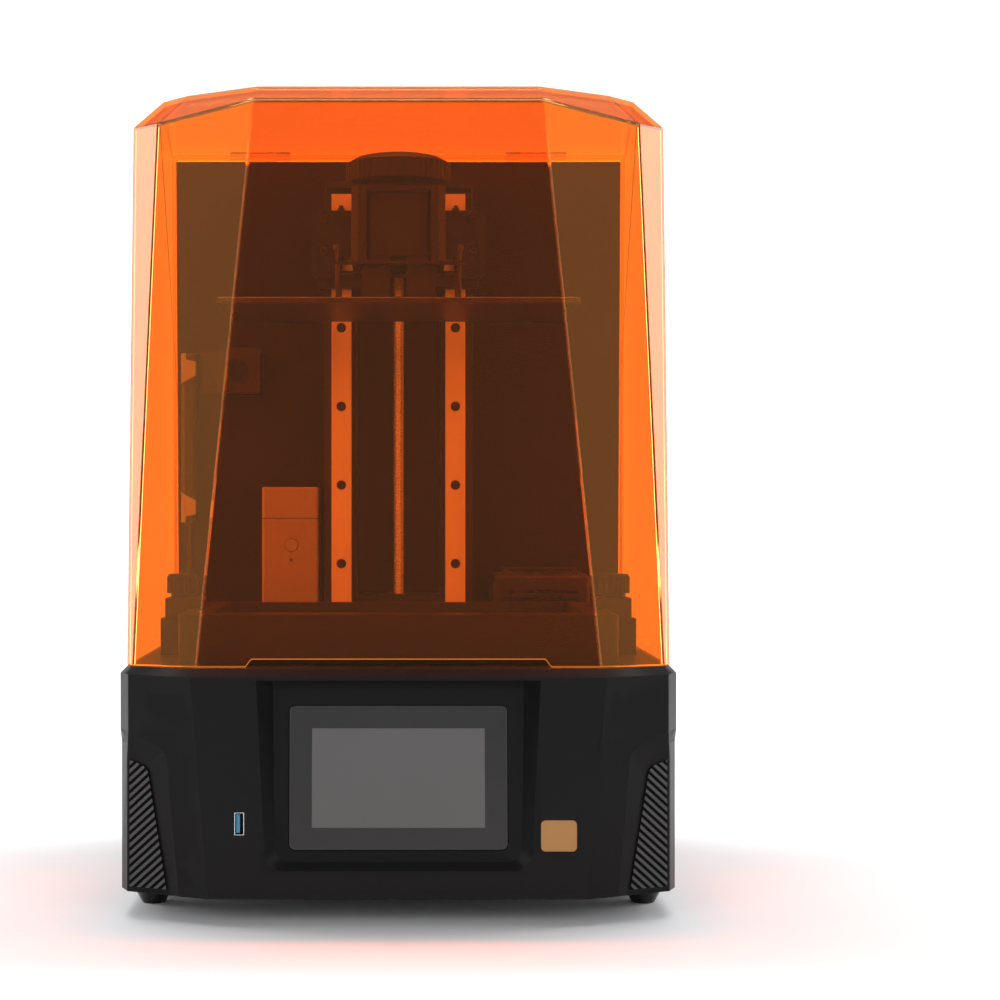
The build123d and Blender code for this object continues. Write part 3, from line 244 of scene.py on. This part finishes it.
def moulded(name, colour, rough=0.45, grain=900, depth=0.06 * MM, worn=1.3, shine=0.5):
    """Moulded plastic or powder coat: fine grain, slight clouding and paler, rubbed edges."""
    finish = Finish(name)
    finish.set(Specular_IOR_Level=shine)
    cloud = finish.mixed(finish.noise(14, 3), shade(colour, 0.88), shade(colour, 1.12))
    edge = finish.add("ShaderNodeNewGeometry").outputs["Pointiness"]
    wear = finish.ranged(edge, 0.0, 1.0, 0.52, 0.60)
    finish.colour(finish.mixed(wear, cloud, shade(colour, worn)))
    fine = finish.noise(grain, 2)
    finish.roughness(finish.ranged(fine, rough - 0.06, rough + 0.08))
    finish.bump(fine, 0.35, depth)
    return finish.material


def brushed(name, colour, rough=0.3, along="Z", metallic=1.0):
    """Ground or brushed metal: long fine scratches along one axis."""
    finish = Finish(name)
    finish.set(Metallic=metallic)
    scale = [1500.0, 1500.0, 1500.0]
    scale["XYZ".index(along)] = 18.0
    streak = finish.noise(1.0, 3, vector=finish.stretched(scale))
    finish.colour(finish.mixed(finish.noise(20, 2), shade(colour, 0.82), colour))
    finish.roughness(finish.ranged(streak, rough - 0.08, rough + 0.12))
    finish.bump(streak, 0.25, 0.03 * MM)
    return finish.material


def polished(name, colour, rough=0.08, coat=0.0):
    """Smooth plastic or painted glass, with faint smudges in its gloss."""
    finish = Finish(name)
    smudge = finish.noise(9, 4, 0.6)
    finish.set(Coat_Weight=coat)
    finish.colour(finish.mixed(smudge, shade(colour, 0.94), colour))
    finish.roughness(finish.ranged(smudge, rough, rough + 0.08, 0.4, 0.8))
    return finish.material


def acrylic(name, tint, glow, edge_glow, facing_glow, steep_glow=SHEET_GLOW):
    """Fluorescent tinted sheet, slightly milky, with painted glow: it emits light, though it is no lamp,
    more where it is looked along than through, and towards its rear edge."""
    finish = Finish(name)
    smudge = finish.noise(6, 3)
    finish.set(Transmission_Weight=SHEET_CLEAR, IOR=1.49, Specular_Tint=(*SHEET_SHEEN, 1))
    finish.colour(finish.mixed(smudge, shade(tint, 0.97), tint))
    finish.roughness(finish.ranged(smudge, 0.01, 0.035))
    facing = finish.add("ShaderNodeLayerWeight")
    facing.inputs["Blend"].default_value = 0.5
    slope = finish.ranged(facing.outputs["Facing"], 0.0, 1.0, STEEP_FROM, STEEP_FULL)
    split = finish.add("ShaderNodeSeparateXYZ")
    finish.link(finish.place, split.inputs["Vector"])
    rear = finish.ranged(split.outputs["Y"], 0.0, 1.0, *REAR_REACH)
    # towards the rear edge the painted glow turns to the rear glow colour
    edge_colour = finish.mixed(rear, steep_glow, REAR_GLOW_COLOUR)
    # painted glow: the sheet emits light though it is no lamp, in one colour face on and another steep
    finish.link(finish.mixed(slope, facing_glow, edge_colour), finish.shader.inputs["Emission Color"])
    towards_rear = finish.maths("MULTIPLY", finish.maths("MULTIPLY", rear, slope), REAR_GLOW)
    strength = finish.maths("ADD", finish.ranged(slope, glow, edge_glow), towards_rear)
    ray = finish.add("ShaderNodeLightPath").outputs
    spill = finish.ranged(ray["Is Diffuse Ray"], 1.0, SPILL)
    finish.link(finish.maths("MULTIPLY", strength, spill), finish.shader.inputs["Emission Strength"])
    clear = finish.add("ShaderNodeBsdfTransparent")
    deep = tuple(channel ** DEEP_POWER for channel in tint)
    pale = tuple(channel ** SHADOW_POWER for channel in tint)
    finish.link(finish.mixed(ray["Is Shadow Ray"], deep, pale), clear.inputs["Color"])
    either = finish.add("ShaderNodeMixShader")
    steep = finish.maths("MULTIPLY", slope, STEEP_SHARE)
    finish.link(finish.maths("MAXIMUM", ray["Is Shadow Ray"], steep), either.inputs["Fac"])
    finish.link(finish.shader.outputs["BSDF"], either.inputs[1])
    finish.link(clear.outputs["BSDF"], either.inputs[2])
    finish.link(either.outputs["Shader"], finish.tree.nodes["Material Output"].inputs["Surface"])
    return finish.material


def clear_film(name):
    """Thin clear film or lens plastic."""
    finish = Finish(name)
    haze = finish.noise(30, 2)
    finish.set(Transmission_Weight=1.0, IOR=1.35, Base_Color=(0.93, 0.94, 0.96, 1))
    finish.roughness(finish.ranged(haze, 0.03, 0.12))
    return finish.material


def inside_box(finish, low, high, axes="XZ"):
    """1 between two corners along the named axes, 0 outside."""
    split = finish.add("ShaderNodeSeparateXYZ")
    finish.link(finish.place, split.inputs["Vector"])
    inside = None
    for axis in axes:
        number = "XYZ".index(axis)
        above = finish.maths("GREATER_THAN", split.outputs[axis], low[number])
        below = finish.maths("LESS_THAN", split.outputs[axis], high[number])
        here = finish.maths("MULTIPLY", above, below)
        inside = here if inside is None else finish.maths("MULTIPLY", inside, here)
    return inside


def screen_material():
    """Printed dark border round a paler switched-off display, under one polished glass."""
    finish = Finish("screen_glass")
    low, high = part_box("display_panel")
    border = Vector((3 * MM, 0, 3 * MM))
    lit = inside_box(finish, low + border, high - border)
    smudge = finish.noise(11, 4, 0.6)
    finish.colour(finish.mixed(lit, (0.036, 0.036, 0.036), (0.112, 0.111, 0.111)))
    finish.roughness(finish.ranged(smudge, 0.16, 0.26, 0.35, 0.8))
    finish.set(Coat_Weight=0.2, Coat_Roughness=0.06, Specular_IOR_Level=0.4)
    return finish.material


def socket_material():
    """Bright nickel at the mouth of the socket, and painted shade inside it: dark and not metallic."""
    finish = Finish("socket_steel")
    low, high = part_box("usb_port")
    # painted shade: past the mouth, the socket's inside is dark, as if in its own shadow
    deep = inside_box(finish, low + Vector((0, 0.6 * MM, 0)), high, "Y")
    streak = finish.noise(700, 2)
    finish.colour(finish.mixed(deep, (0.80, 0.81, 0.82), (0.015, 0.015, 0.015)))
    finish.link(finish.ranged(deep, 0.9, 0.0), finish.shader.inputs["Metallic"])
    finish.roughness(finish.ranged(streak, 0.28, 0.42))
    return finish.material


def weave_material(name, dark, pale, shine):
    """A carbon-look tow: short crossing threads along its length."""
    finish = Finish(name)
    finish.set(Specular_IOR_Level=shine)
    threads = finish.add("ShaderNodeTexWave", wave_type="BANDS", bands_direction="Z")
    threads.inputs["Scale"].default_value = 330
    threads.inputs["Distortion"].default_value = 0.4
    finish.link(finish.place, threads.inputs["Vector"])
    finish.colour(finish.mixed(threads.outputs["Fac"], dark, pale))
    finish.roughness(finish.ranged(threads.outputs["Fac"], 0.5, 0.32))
    finish.bump(threads.outputs["Fac"], 0.5, 0.15 * MM)
    return finish.material


def laser_textured():
    """Build plate: satin aluminium, darkened, with a laser-cut grip pattern."""
    finish = Finish("plate_steel")
    finish.set(Metallic=0.8)
    cells = finish.add("ShaderNodeTexVoronoi")
    cells.inputs["Scale"].default_value = 900
    finish.link(finish.place, cells.inputs["Vector"])
    dots = finish.ranged(cells.outputs["Distance"], 0, 1, 0.15, 0.5)
    finish.colour(finish.mixed(dots, (0.028, 0.028, 0.029), (0.05, 0.05, 0.051)))
    finish.roughness(finish.ranged(dots, 0.58, 0.42))
    finish.bump(dots, 0.5, 0.1 * MM)
    return finish.material


FINE = 0.04 * MM
FINER = 0.03 * MM


def make_materials():
    """One finish for each material slot, and those that only pieces use."""
    return {
        "case_black": moulded("case_black", (0.0075, 0.0075, 0.0077), 0.34, shine=0.09),
        "case_dark_metal": moulded("case_dark_metal", (0.020, 0.020, 0.021), 0.45, 1400, FINE, shine=0.2),
        "floor_steel": moulded("floor_steel", (0.020, 0.020, 0.021), 0.45, 700, 0.1 * MM),
        "insert_weave": weave_material("insert_weave", (0.002, 0.002, 0.002), (0.005, 0.005, 0.005), 0.03),
        "insert_pale": weave_material("insert_pale", (0.032, 0.032, 0.033), (0.092, 0.092, 0.094), 0.25),
        "foot_rubber": moulded("foot_rubber", (0.004, 0.004, 0.004), 0.26, 1100, 0.02 * MM, shine=0.45),
        "screen_glass": screen_material(),
        "display_grey": polished("display_grey", (0.13, 0.13, 0.13), 0.12),
        "socket_steel": socket_material(),
        "socket_blue": moulded("socket_blue", (0.028, 0.15, 0.26), 0.4),
        "badge_tan": brushed("badge_tan", (0.40, 0.20, 0.06), 0.46, "X", 0.25),
        "lcd_glass": polished("lcd_glass", (0.012, 0.013, 0.016), 0.05, 0.5),
        "engine_black": moulded("engine_black", (0.030, 0.030, 0.031), 0.6),
        "board_green": moulded("board_green", (0.02, 0.13, 0.05), 0.4, 500),
        "lens_clear": clear_film("lens_clear"),
        "bare_aluminium": brushed("bare_aluminium", (0.62, 0.62, 0.63), 0.34, "X"),
        "fan_black": moulded("fan_black", (0.020, 0.020, 0.021), 0.42, shine=0.3),
        "supply_steel": brushed("supply_steel", (0.55, 0.56, 0.57), 0.32, "Y"),
        "cover_orange": acrylic("cover_orange", SHEET_TINT, 0.0065, 0.40, FACING_GLOW),
        # the slanted corner facets: a paler copy of the sheet with more glow, painted sheen
        "cover_corner_sheen": acrylic("cover_corner_sheen", CORNER_SHEEN_TINT, 0.022, 0.40, (0.70, 0.44, 0.24)),
        # the cut ends of the sheet: a painted brighter glow
        "cover_edge": acrylic("cover_edge", (1.0, 0.42, 0.06), 0.5, 0.8, SHEET_GLOW),
        # the strip near the rear edge: painted glow
        "cover_rear_glow": acrylic("cover_rear_glow", (1.0, 0.50, 0.10), 0.6, 0.8, REAR_GLOW_COLOUR, REAR_GLOW_COLOUR),
        "back_black": moulded("back_black", (0.011, 0.011, 0.011), 0.5, 800, 0.08 * MM, shine=0.12),
        "column_black": moulded("column_black", (0.017, 0.017, 0.017), 0.42, 1600, FINER, shine=0.2),
        "rail_steel": brushed("rail_steel", (0.84, 0.84, 0.84), 0.62, "Z", 0.1),
        "block_cap": moulded("block_cap", (0.016, 0.016, 0.016), 0.45, shine=0.3),
        "screw_black": moulded("screw_black", (0.012, 0.012, 0.012), 0.4),
        "screw_steel": brushed("screw_steel", (0.86, 0.85, 0.84), 0.34, "X", 0.45),
        "hinge_steel": moulded("hinge_steel", (0.03, 0.03, 0.03), 0.35),
        "pin_steel": brushed("pin_steel", (0.6, 0.6, 0.6), 0.25, "X"),
        "arm_black": moulded("arm_black", (0.017, 0.017, 0.0175), 0.42, 1600, FINER, shine=0.2),
        "nut_brass": brushed("nut_brass", (0.72, 0.50, 0.22), 0.28, "Z"),
        "plate_steel": laser_textured(),
        "vat_metal": moulded("vat_metal", (0.017, 0.017, 0.0165), 0.42, 1600, FINER, shine=0.22),
        "film_clear": clear_film("film_clear"),
        "purifier_white": moulded("purifier_white", (0.33, 0.33, 0.32), 0.4, 900, FINE, 1.02),
        "lens_black": polished("lens_black", (0.010, 0.010, 0.013), 0.03, 1.0),
    }


# ---- mesh helpers ----
def smooth(piece, angle=40):
    """Smooth shading except across edges sharper than angle."""
    for face in piece.data.polygons:
        face.use_smooth = True
    piece.data.set_sharp_from_angle(angle=radians(angle))


def add_piece(name, build, body, slot, *finishes):
    """Turns a bmesh into a piece that rides on a body and takes the finish of a slot."""
    mesh = bpy.data.meshes.new(name)
    build.to_mesh(mesh)
    build.free()
    piece = bpy.data.objects.new(name, mesh)
    scene.collection.objects.link(piece)
    for finish in finishes or (slot,):
        mesh.materials.append(materials[finish])
    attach(piece, body)
    return piece


def round_edges(piece, width, segments=3, angle=25):
    bevel = piece.modifiers.new("rounded", "BEVEL")
    bevel.width = width
    bevel.segments = segments
    bevel.limit_method = "ANGLE"
    bevel.angle_limit = radians(angle)
    bevel.use_clamp_overlap = True
    bevel.harden_normals = True
    smooth(piece)
    return piece


def cad_copy(node):
    """The CAD node's mesh in a bmesh, with the triangles of each flat face merged."""
    build = bmesh.new()
    build.from_mesh(frame["nodes"][node].data)
    bmesh.ops.remove_doubles(build, verts=build.verts, dist=0.01 * MM)
    bmesh.ops.dissolve_limit(build, angle_limit=radians(0.5), verts=build.verts, edges=build.edges)
    return build


def softened(node, width, segments=3, angle=25):
    """A copy of a CAD node with its sharp edges rounded, which stands for it."""
    piece = add_piece(node + "_body", cad_copy(node), body_of[node], slot_of[node])
    round_edges(piece, width, segments, angle)
    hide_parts(node)
    return piece


def placed(place, axis):
    """The matrix that stands an upright shape at a place, along an axis."""
    turn = Vector((0, 0, 1)).rotation_difference(Vector(axis)).to_matrix().to_4x4()
    return Matrix.Translation(place) @ turn


def lathe(build, profile, place, axis=(0, 0, 1), segments=32):
    """Adds a turned shape: profile gives (radius, height) along axis from place."""
    stand = placed(place, axis)
    rings = []
    for radius, height in profile:
        if radius == 0:
            rings.append([build.verts.new(stand @ Vector((0, 0, height)))] * segments)
            continue
        ring = []
        for step in range(segments):
            angle = step / segments * tau
            point = Vector((radius * cos(angle), radius * sin(angle), height))
            ring.append(build.verts.new(stand @ point))
        rings.append(ring)
    for low, high in zip(rings, rings[1:]):
        for step in range(segments):
            corners = (low[step], low[step - 1], high[step - 1], high[step])
            distinct = list(dict.fromkeys(corners))
            if len(distinct) > 2:
                build.faces.new(distinct)
    bmesh.ops.recalc_face_normals(build, faces=build.faces)


SCREW_HEAD_SIDES = 30
SOCKET_MOUTH = 0.56
SOCKET_CORNER = 0.48


def cap_screw(build, place, axis, radius, height):
    """Adds a socket-head screw: a head with a soft rim and a hexagonal socket in its top."""
    rim = 0.12 * radius
    mouth = SOCKET_MOUTH * radius
    side = [(0.0, 0.0), (radius, 0.0), (radius, height - rim), (radius - 0.3 * rim, height - 0.3 * rim)]
    lathe(build, side + [(radius - rim, height), (mouth, height)], place, axis, SCREW_HEAD_SIDES)
    stand = placed(place, axis)
    outer, inner, floor = [], [], []
    for step in range(SCREW_HEAD_SIDES):
        angle = step / SCREW_HEAD_SIDES * tau
        flat = radians(30) - abs((angle % radians(60)) - radians(30))
        reach = SOCKET_CORNER * radius * cos(radians(30)) / cos(radians(30) - flat)
        around = Vector((cos(angle), sin(angle), 0))
        for ring, distance, level in (
            (outer, mouth, height),
            (inner, reach, height - 0.3 * rim),
            (floor, reach, 0.45 * height),
        ):
            ring.append(build.verts.new(stand @ (around * distance + Vector((0, 0, level)))))
    for low, high in ((outer, inner), (inner, floor)):
        for step in range(SCREW_HEAD_SIDES):
            build.faces.new((low[step], low[step - 1], high[step - 1], high[step]))
    build.faces.new(floor)
    bmesh.ops.remove_doubles(build, verts=build.verts, dist=0.002 * MM)
    bmesh.ops.recalc_face_normals(build, faces=build.faces)


def prism(build, outline, axis, start, end):
    """Adds an outline swept along X, Y or Z. The outline's two numbers are the other axes in order."""
    number = "XYZ".index(axis)
    ends = []
    for level in (start, end):
        corners = []
        for first, second in outline:
            point = [first, second]
            point.insert(number, level)
            corners.append(build.verts.new(point))
        ends.append(corners)
    low, high = ends
    build.faces.new(low)
    build.faces.new(high)
    for step in range(len(low)):
        build.faces.new((low[step], low[step - 1], high[step - 1], high[step]))
    bmesh.ops.recalc_face_normals(build, faces=build.faces)


# ---- pieces ----
CREASE = 0.8 * MM


def add_cover():
    """The hood: flat panels with rounded creases, and cut ends with a painted brighter glow."""
    build = cad_copy("cover_hood")
    sharp = [edge for edge in build.edges if edge.calc_face_angle(0) > radians(4)]
    bmesh.ops.bevel(build, geom=sharp, offset=CREASE, segments=3, profile=0.5, affect="EDGES")
    low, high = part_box("cover_hood")
    for face in build.faces:
        middle = face.calc_center_median()
        # the cut ends at the foot and the rear take the finish with painted glow
        foot = face.normal.z < -0.3 and middle.z < low.z + 6 * MM
        rear = face.normal.y > 0.3 and middle.y > high.y - 1 * MM
        # slanted corner facets take the copy of the sheet with painted sheen
        slant = 0.25 < abs(face.normal.x) < 0.5 and abs(face.normal.y) > 0.85
        face.material_index = 1 if foot or rear else 2 if slant else 0
    finishes = ("cover_orange", "cover_edge", "cover_corner_sheen")
    piece = add_piece("cover_body", build, "cover", "cover_orange", *finishes)
    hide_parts("cover_hood")


# size of the strip that carries the painted rear glow
GLOW_STRIP_WIDE = 34 * MM
GLOW_STRIP_THICK = 0.3 * MM


def add_cover_rear_glow():
    """A thin strip round the inside of the cover's rear opening that paints the glow seen near the rear
    edge.
    """
    build = cad_copy("cover_hood")
    low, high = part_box("cover_hood")
    bmesh.ops.bisect_plane(
        build,
        geom=build.verts[:] + build.edges[:] + build.faces[:],
        plane_co=(0, high.y - GLOW_STRIP_WIDE, 0),
        plane_no=(0, -1, 0),
        clear_outer=True,
    )
    outside = []
    for face in build.faces:
        middle = face.calc_center_median()
        inner = face.normal.x * middle.x < 0 or face.normal.z < -0.3
        if abs(face.normal.y) > 0.5 or not inner or middle.z < low.z + 1 * MM:
            outside.append(face)
    bmesh.ops.delete(build, geom=outside, context="FACES")
    for vertex in build.verts:
        vertex.co.y = min(vertex.co.y, high.y - 0.5 * MM)
        vertex.co.z = max(vertex.co.z, low.z + 0.5 * MM)
    piece = add_piece("cover_rear_glow_strip", build, "cover", "cover_orange", "cover_rear_glow")
    thick = piece.modifiers.new("thick", "SOLIDIFY")
    thick.thickness = GLOW_STRIP_THICK
    thick.offset = 1.0
    thick.use_even_offset = True


RECESS_ROUND = 3 * MM


def add_case():
    """The lower case: wide soft rounding round the corner recesses, crisp rounding elsewhere."""
    build = cad_copy("base_shell")
    rims = []
    for edge in build.edges:
        middle = (edge.verts[0].co + edge.verts[1].co) / 2
        near = abs(middle.x) > 125 * MM and middle.y < -150 * MM and middle.z < 140 * MM
        if near and radians(3) < edge.calc_face_angle(0) < radians(18):
            rims.append(edge)
    bmesh.ops.bevel(
        build,
        geom=rims,
        offset=RECESS_ROUND,
        segments=6,
        profile=0.5,
        affect="EDGES",
        clamp_overlap=True,
    )
    piece = add_piece("base_shell_body", build, "printer", "case_black")
    round_edges(piece, 1.0 * MM)
    flat = piece.modifiers.new("flat", "WEIGHTED_NORMAL")
    flat.keep_sharp = True
    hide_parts("base_shell")


TOW = 2.05 * MM
TOW_RISE = 0.3 * MM
TOW_SHOULDER = 0.2 * MM
TOW_SLOPE = 1.19
TOW_LIFT = 0.03 * MM


def add_insert(node, side):
    """Slanted ribs like carbon tows on the corner insert: every other one is raised and paler."""
    source = cad_copy(node)
    front = min(source.faces, key=lambda face: (face.normal.y - abs(face.normal.z)) * face.calc_area())
    out = front.normal.copy()
    across = Vector((0, 0, 1)).cross(out).normalized()
    build = bmesh.new()
    build.faces.new([build.verts.new(corner.co + out * TOW_LIFT) for corner in front.verts])
    source.free()
    slant = (across * side + Vector((0, 0, TOW_SLOPE))).normalized()
    origin = Vector(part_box(node)[0])
    reaches = [(corner.co - origin).dot(slant) for corner in build.verts]
    first = int(min(reaches) / TOW) - 1
    last = int(max(reaches) / TOW) + 1
    for number in range(first, last + 1):
        bmesh.ops.bisect_plane(
            build,
            geom=build.verts[:] + build.edges[:] + build.faces[:],
            plane_co=origin + slant * number * TOW,
            plane_no=slant,
            dist=0.01 * MM,
        )
    pale = []
    for face in build.faces:
        band = int((face.calc_center_median() - origin).dot(slant) // TOW)
        if band % 2:
            pale.append(face)
            face.material_index = 1
        if face.normal.dot(out) < 0:
            face.normal_flip()
    raised = bmesh.ops.inset_individual(
        build,
        faces=pale,
        thickness=TOW_SHOULDER,
        depth=TOW_RISE,
        use_even_offset=True,
    )
    for face in raised["faces"]:
        face.material_index = 1
    add_piece(node + "_tows", build, body_of[node], "insert_weave", "insert_weave", "insert_pale")


SCREW_PITCH = 2 * MM
SCREW_STARTS = 2
SCREW_SIDES = 28
THREAD_DEEP = 0.9 * MM


def add_lead_screw():
    """The screw with its two-start trapezoidal thread between plain, chamfered ends."""
    low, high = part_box("lead_screw")
    radius = (high.x - low.x) / 2
    core = radius - THREAD_DEEP
    middle = (low + high) / 2
    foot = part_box("screw_bearings")[0].z
    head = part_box("screw_bearings")[1].z - 9 * MM
    shape = [(0.0, radius), (0.28, radius), (0.5, core), (0.78, core)]
    build = bmesh.new()
    pitches = int((head - foot) / SCREW_PITCH)
    columns = []
    for step in range(SCREW_SIDES):
        angle = step / SCREW_SIDES * tau
        climb = SCREW_STARTS * SCREW_PITCH * step / SCREW_SIDES
        column = []
        for number in range(-SCREW_STARTS, pitches):
            for share, reach in shape:
                x = middle.x + reach * cos(angle)
                y = middle.y + reach * sin(angle)
                z = min(max(foot + (number + share) * SCREW_PITCH + climb, foot), head)
                column.append(build.verts.new((x, y, z)))
        columns.append(column)
    for step in range(SCREW_SIDES):
        here = columns[step]
        beyond = columns[(step + 1) % SCREW_SIDES]
        jump = SCREW_STARTS * len(shape) if step == SCREW_SIDES - 1 else 0
        for number in range(len(here) - 1 - jump):
            level = number + jump
            build.faces.new((here[level], beyond[number], beyond[number + 1], here[level + 1]))
    bmesh.ops.remove_doubles(build, verts=build.verts, dist=0.005 * MM)
    tip = 0.6 * MM
    for start, end in ((low.z, foot + tip), (head - tip, high.z)):
        plain = [(0, start), (radius - tip, start), (radius, start + tip), (radius, end - tip)]
        plain += [(radius - tip, end), (0, end)]
        lathe(build, plain, (middle.x, middle.y, 0), segments=SCREW_SIDES)
    piece = add_piece("lead_screw_thread", build, "lead_screw", "screw_steel")
    smooth(piece, 30)
    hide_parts("lead_screw")


RAIL_WIDE = 15 * MM
RAIL_CLEAR = 0.3 * MM
BLOCK_CAP = 12.8 * MM
CAP_INSET = 0.4 * MM
CAP_GAP = 0.2 * MM
NIPPLE_HIGH = 8.4 * MM
NIPPLE_BACK = 6 * MM
NIPPLE = [(1.4, 0), (1.4, 2.4), (2.7, 2.4), (2.7, 6.0), (1.5, 6.8), (1.9, 7.6), (1.1, 8.3), (0, 8.3)]


def add_linear_blocks():
    """Linear blocks: a ground steel body between two black end caps, with a grease nipple on top."""
    low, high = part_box("linear_blocks")
    rail_low, rail_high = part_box("linear_rails")
    rail_mid = rail_high.x - RAIL_WIDE / 2
    half = high.x - rail_mid
    slot_half = RAIL_WIDE / 2 + RAIL_CLEAR
    slot_front = rail_low.y - RAIL_CLEAR
    top = high.z - NIPPLE_HIGH
    foot_cap = low.z + BLOCK_CAP
    head_cap = top - BLOCK_CAP
    steel, caps, nipples = bmesh.new(), bmesh.new(), bmesh.new()
    for side in (-1, 1):
        for build, inset, spans in (
            (steel, 0.0, [(foot_cap, head_cap)]),
            (caps, CAP_INSET, [(low.z, foot_cap - CAP_GAP), (head_cap + CAP_GAP, top)]),
        ):
            wide = half - inset
            notch = wide - 1.6 * MM
            outline = [
                (wide, low.y + inset),
                (wide, low.y + 9 * MM),
                (notch, low.y + 10.6 * MM),
                (notch, low.y + 14 * MM),
                (wide, low.y + 15.6 * MM),
                (wide, high.y - inset),
                (slot_half, high.y - inset),
                (slot_half, slot_front),
            ]
            points = outline + [(-x, y) for x, y in reversed(outline)]
            shifted = [(side * rail_mid + x, y) for x, y in points]
            for start, end in spans:
                prism(build, shifted, "Z", start, end)
        place = (side * rail_mid, low.y + NIPPLE_BACK, top)
        lathe(nipples, [(radius * MM, z * MM) for radius, z in NIPPLE], place, segments=20)
    body = round_edges(add_piece("block_steel", steel, "carriage", "rail_steel"), 0.5 * MM)
    round_edges(add_piece("block_caps", caps, "carriage", "rail_steel", "block_cap"), 0.5 * MM)
    smooth(add_piece("block_nipples", nipples, "carriage", "rail_steel", "block_cap"), 30)
    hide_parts("linear_blocks")


BOLT_ACROSS = 12 * MM
BOLT_DROPS = (6 * MM, 30 * MM)
BOLT_SUNK = 4 * MM


def add_carriage_screws():
    """Eight socket-head screws, sunk in the carriage plate."""
    low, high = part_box("carriage_plate")
    rail_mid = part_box("linear_rails")[1].x - RAIL_WIDE / 2
    build = bmesh.new()
    for x in (-rail_mid, rail_mid):
        for across in (-BOLT_ACROSS, BOLT_ACROSS):
            for drop in BOLT_DROPS:
                place = (x + across, low.y + BOLT_SUNK, high.z - drop)
                cap_screw(build, place, (0, -1, 0), 3.7 * MM, 3.4 * MM)
    smooth(add_piece("carriage_screws", build, "carriage", "screw_black"), 30)


BAR_STAND = 92 * MM
LAMP_PROUD = 0.6 * MM
LAMP_DEEP = 3 * MM


def add_light_ends():
    """The pale lamps at both ends of the light bar, which stands on a thin post."""
    low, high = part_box("light_bar")
    front = low.y - LAMP_PROUD
    wide = high.x - low.x
    build = bmesh.new()
    for base, up in ((high.z, -1), (low.z + BAR_STAND, 1)):
        outline = [
            (low.x, base),
            (low.x, base + up * 24 * MM),
            (low.x + wide, base + up * 17.5 * MM),
            (low.x + wide, base + up * 6.5 * MM),
            (low.x + 0.35 * wide, base + up * 5 * MM),
            (low.x + 0.3 * wide, base),
        ]
        prism(build, outline, "Y", front, front + LAMP_DEEP)
    round_edges(add_piece("light_bar_lamps", build, "printer", "purifier_white"), 0.4 * MM)


# ---- build ----
add_camera()
add_studio()
materials = make_materials()
for node, piece in frame["nodes"].items():
    piece.data.materials.clear()
    piece.data.materials.append(materials[slot_of[node]])

# how wide each node's sharp edges are rounded, in millimetres
SOFT_EDGES = {
    "back_wall": 0.5,
    "back_housing": 0.8,
    "deck_plate": 0.3,
    "usb_port": 0.2,
    "usb_tongue": 0.2,
    "badge": 0.25,
    "z_column": 0.6,
    "linear_rails": 0.4,
    "screw_bearings": 0.5,
    "z_motor": 0.5,
    "carriage_plate": 0.5,
    "nut_block": 0.5,
    "screw_nut": 0.4,
    "plate_arm": 0.6,
    "plate_mount": 0.4,
    "levelling_screws": 0.25,
    "build_plate": 0.35,
    "plate_knob": 0.4,
    "vat_frame": 0.7,
    "film_ring": 0.3,
    "vat_screws": 0.2,
    "rail_screws": 0.2,
    "vat_clamps": 0.5,
    "vat_knob_left": 0.25,
    "vat_knob_right": 0.25,
    "purifier_case": 0.4,
    "purifier_cap": 0.4,
    "camera_case": 0.5,
    "light_bar": 0.4,
    "hinge_brackets": 0.5,
    "hinge_leaves": 0.4,
    "power_inlet": 0.5,
    "switch_frame": 0.5,
    "switch_rocker": 0.4,
    "power_supply": 0.5,
    "light_housing": 0.5,
    "light_fan_frame": 0.4,
}
SMOOTH_NODES = (
    "feet",
    "camera_lens",
    "screen_glass",
    "hinge_pins",
    "purifier_button",
    "light_fan_rotor",
    "heater_rotor",
)
for node, width in SOFT_EDGES.items():
    softened(node, width * MM)
add_case()
add_cover()
add_cover_rear_glow()
add_insert("side_insert_left", -1)
add_insert("side_insert_right", 1)
add_lead_screw()
add_linear_blocks()
add_carriage_screws()
add_light_ends()
for node in SMOOTH_NODES:
    smooth(frame["nodes"][node], 35)
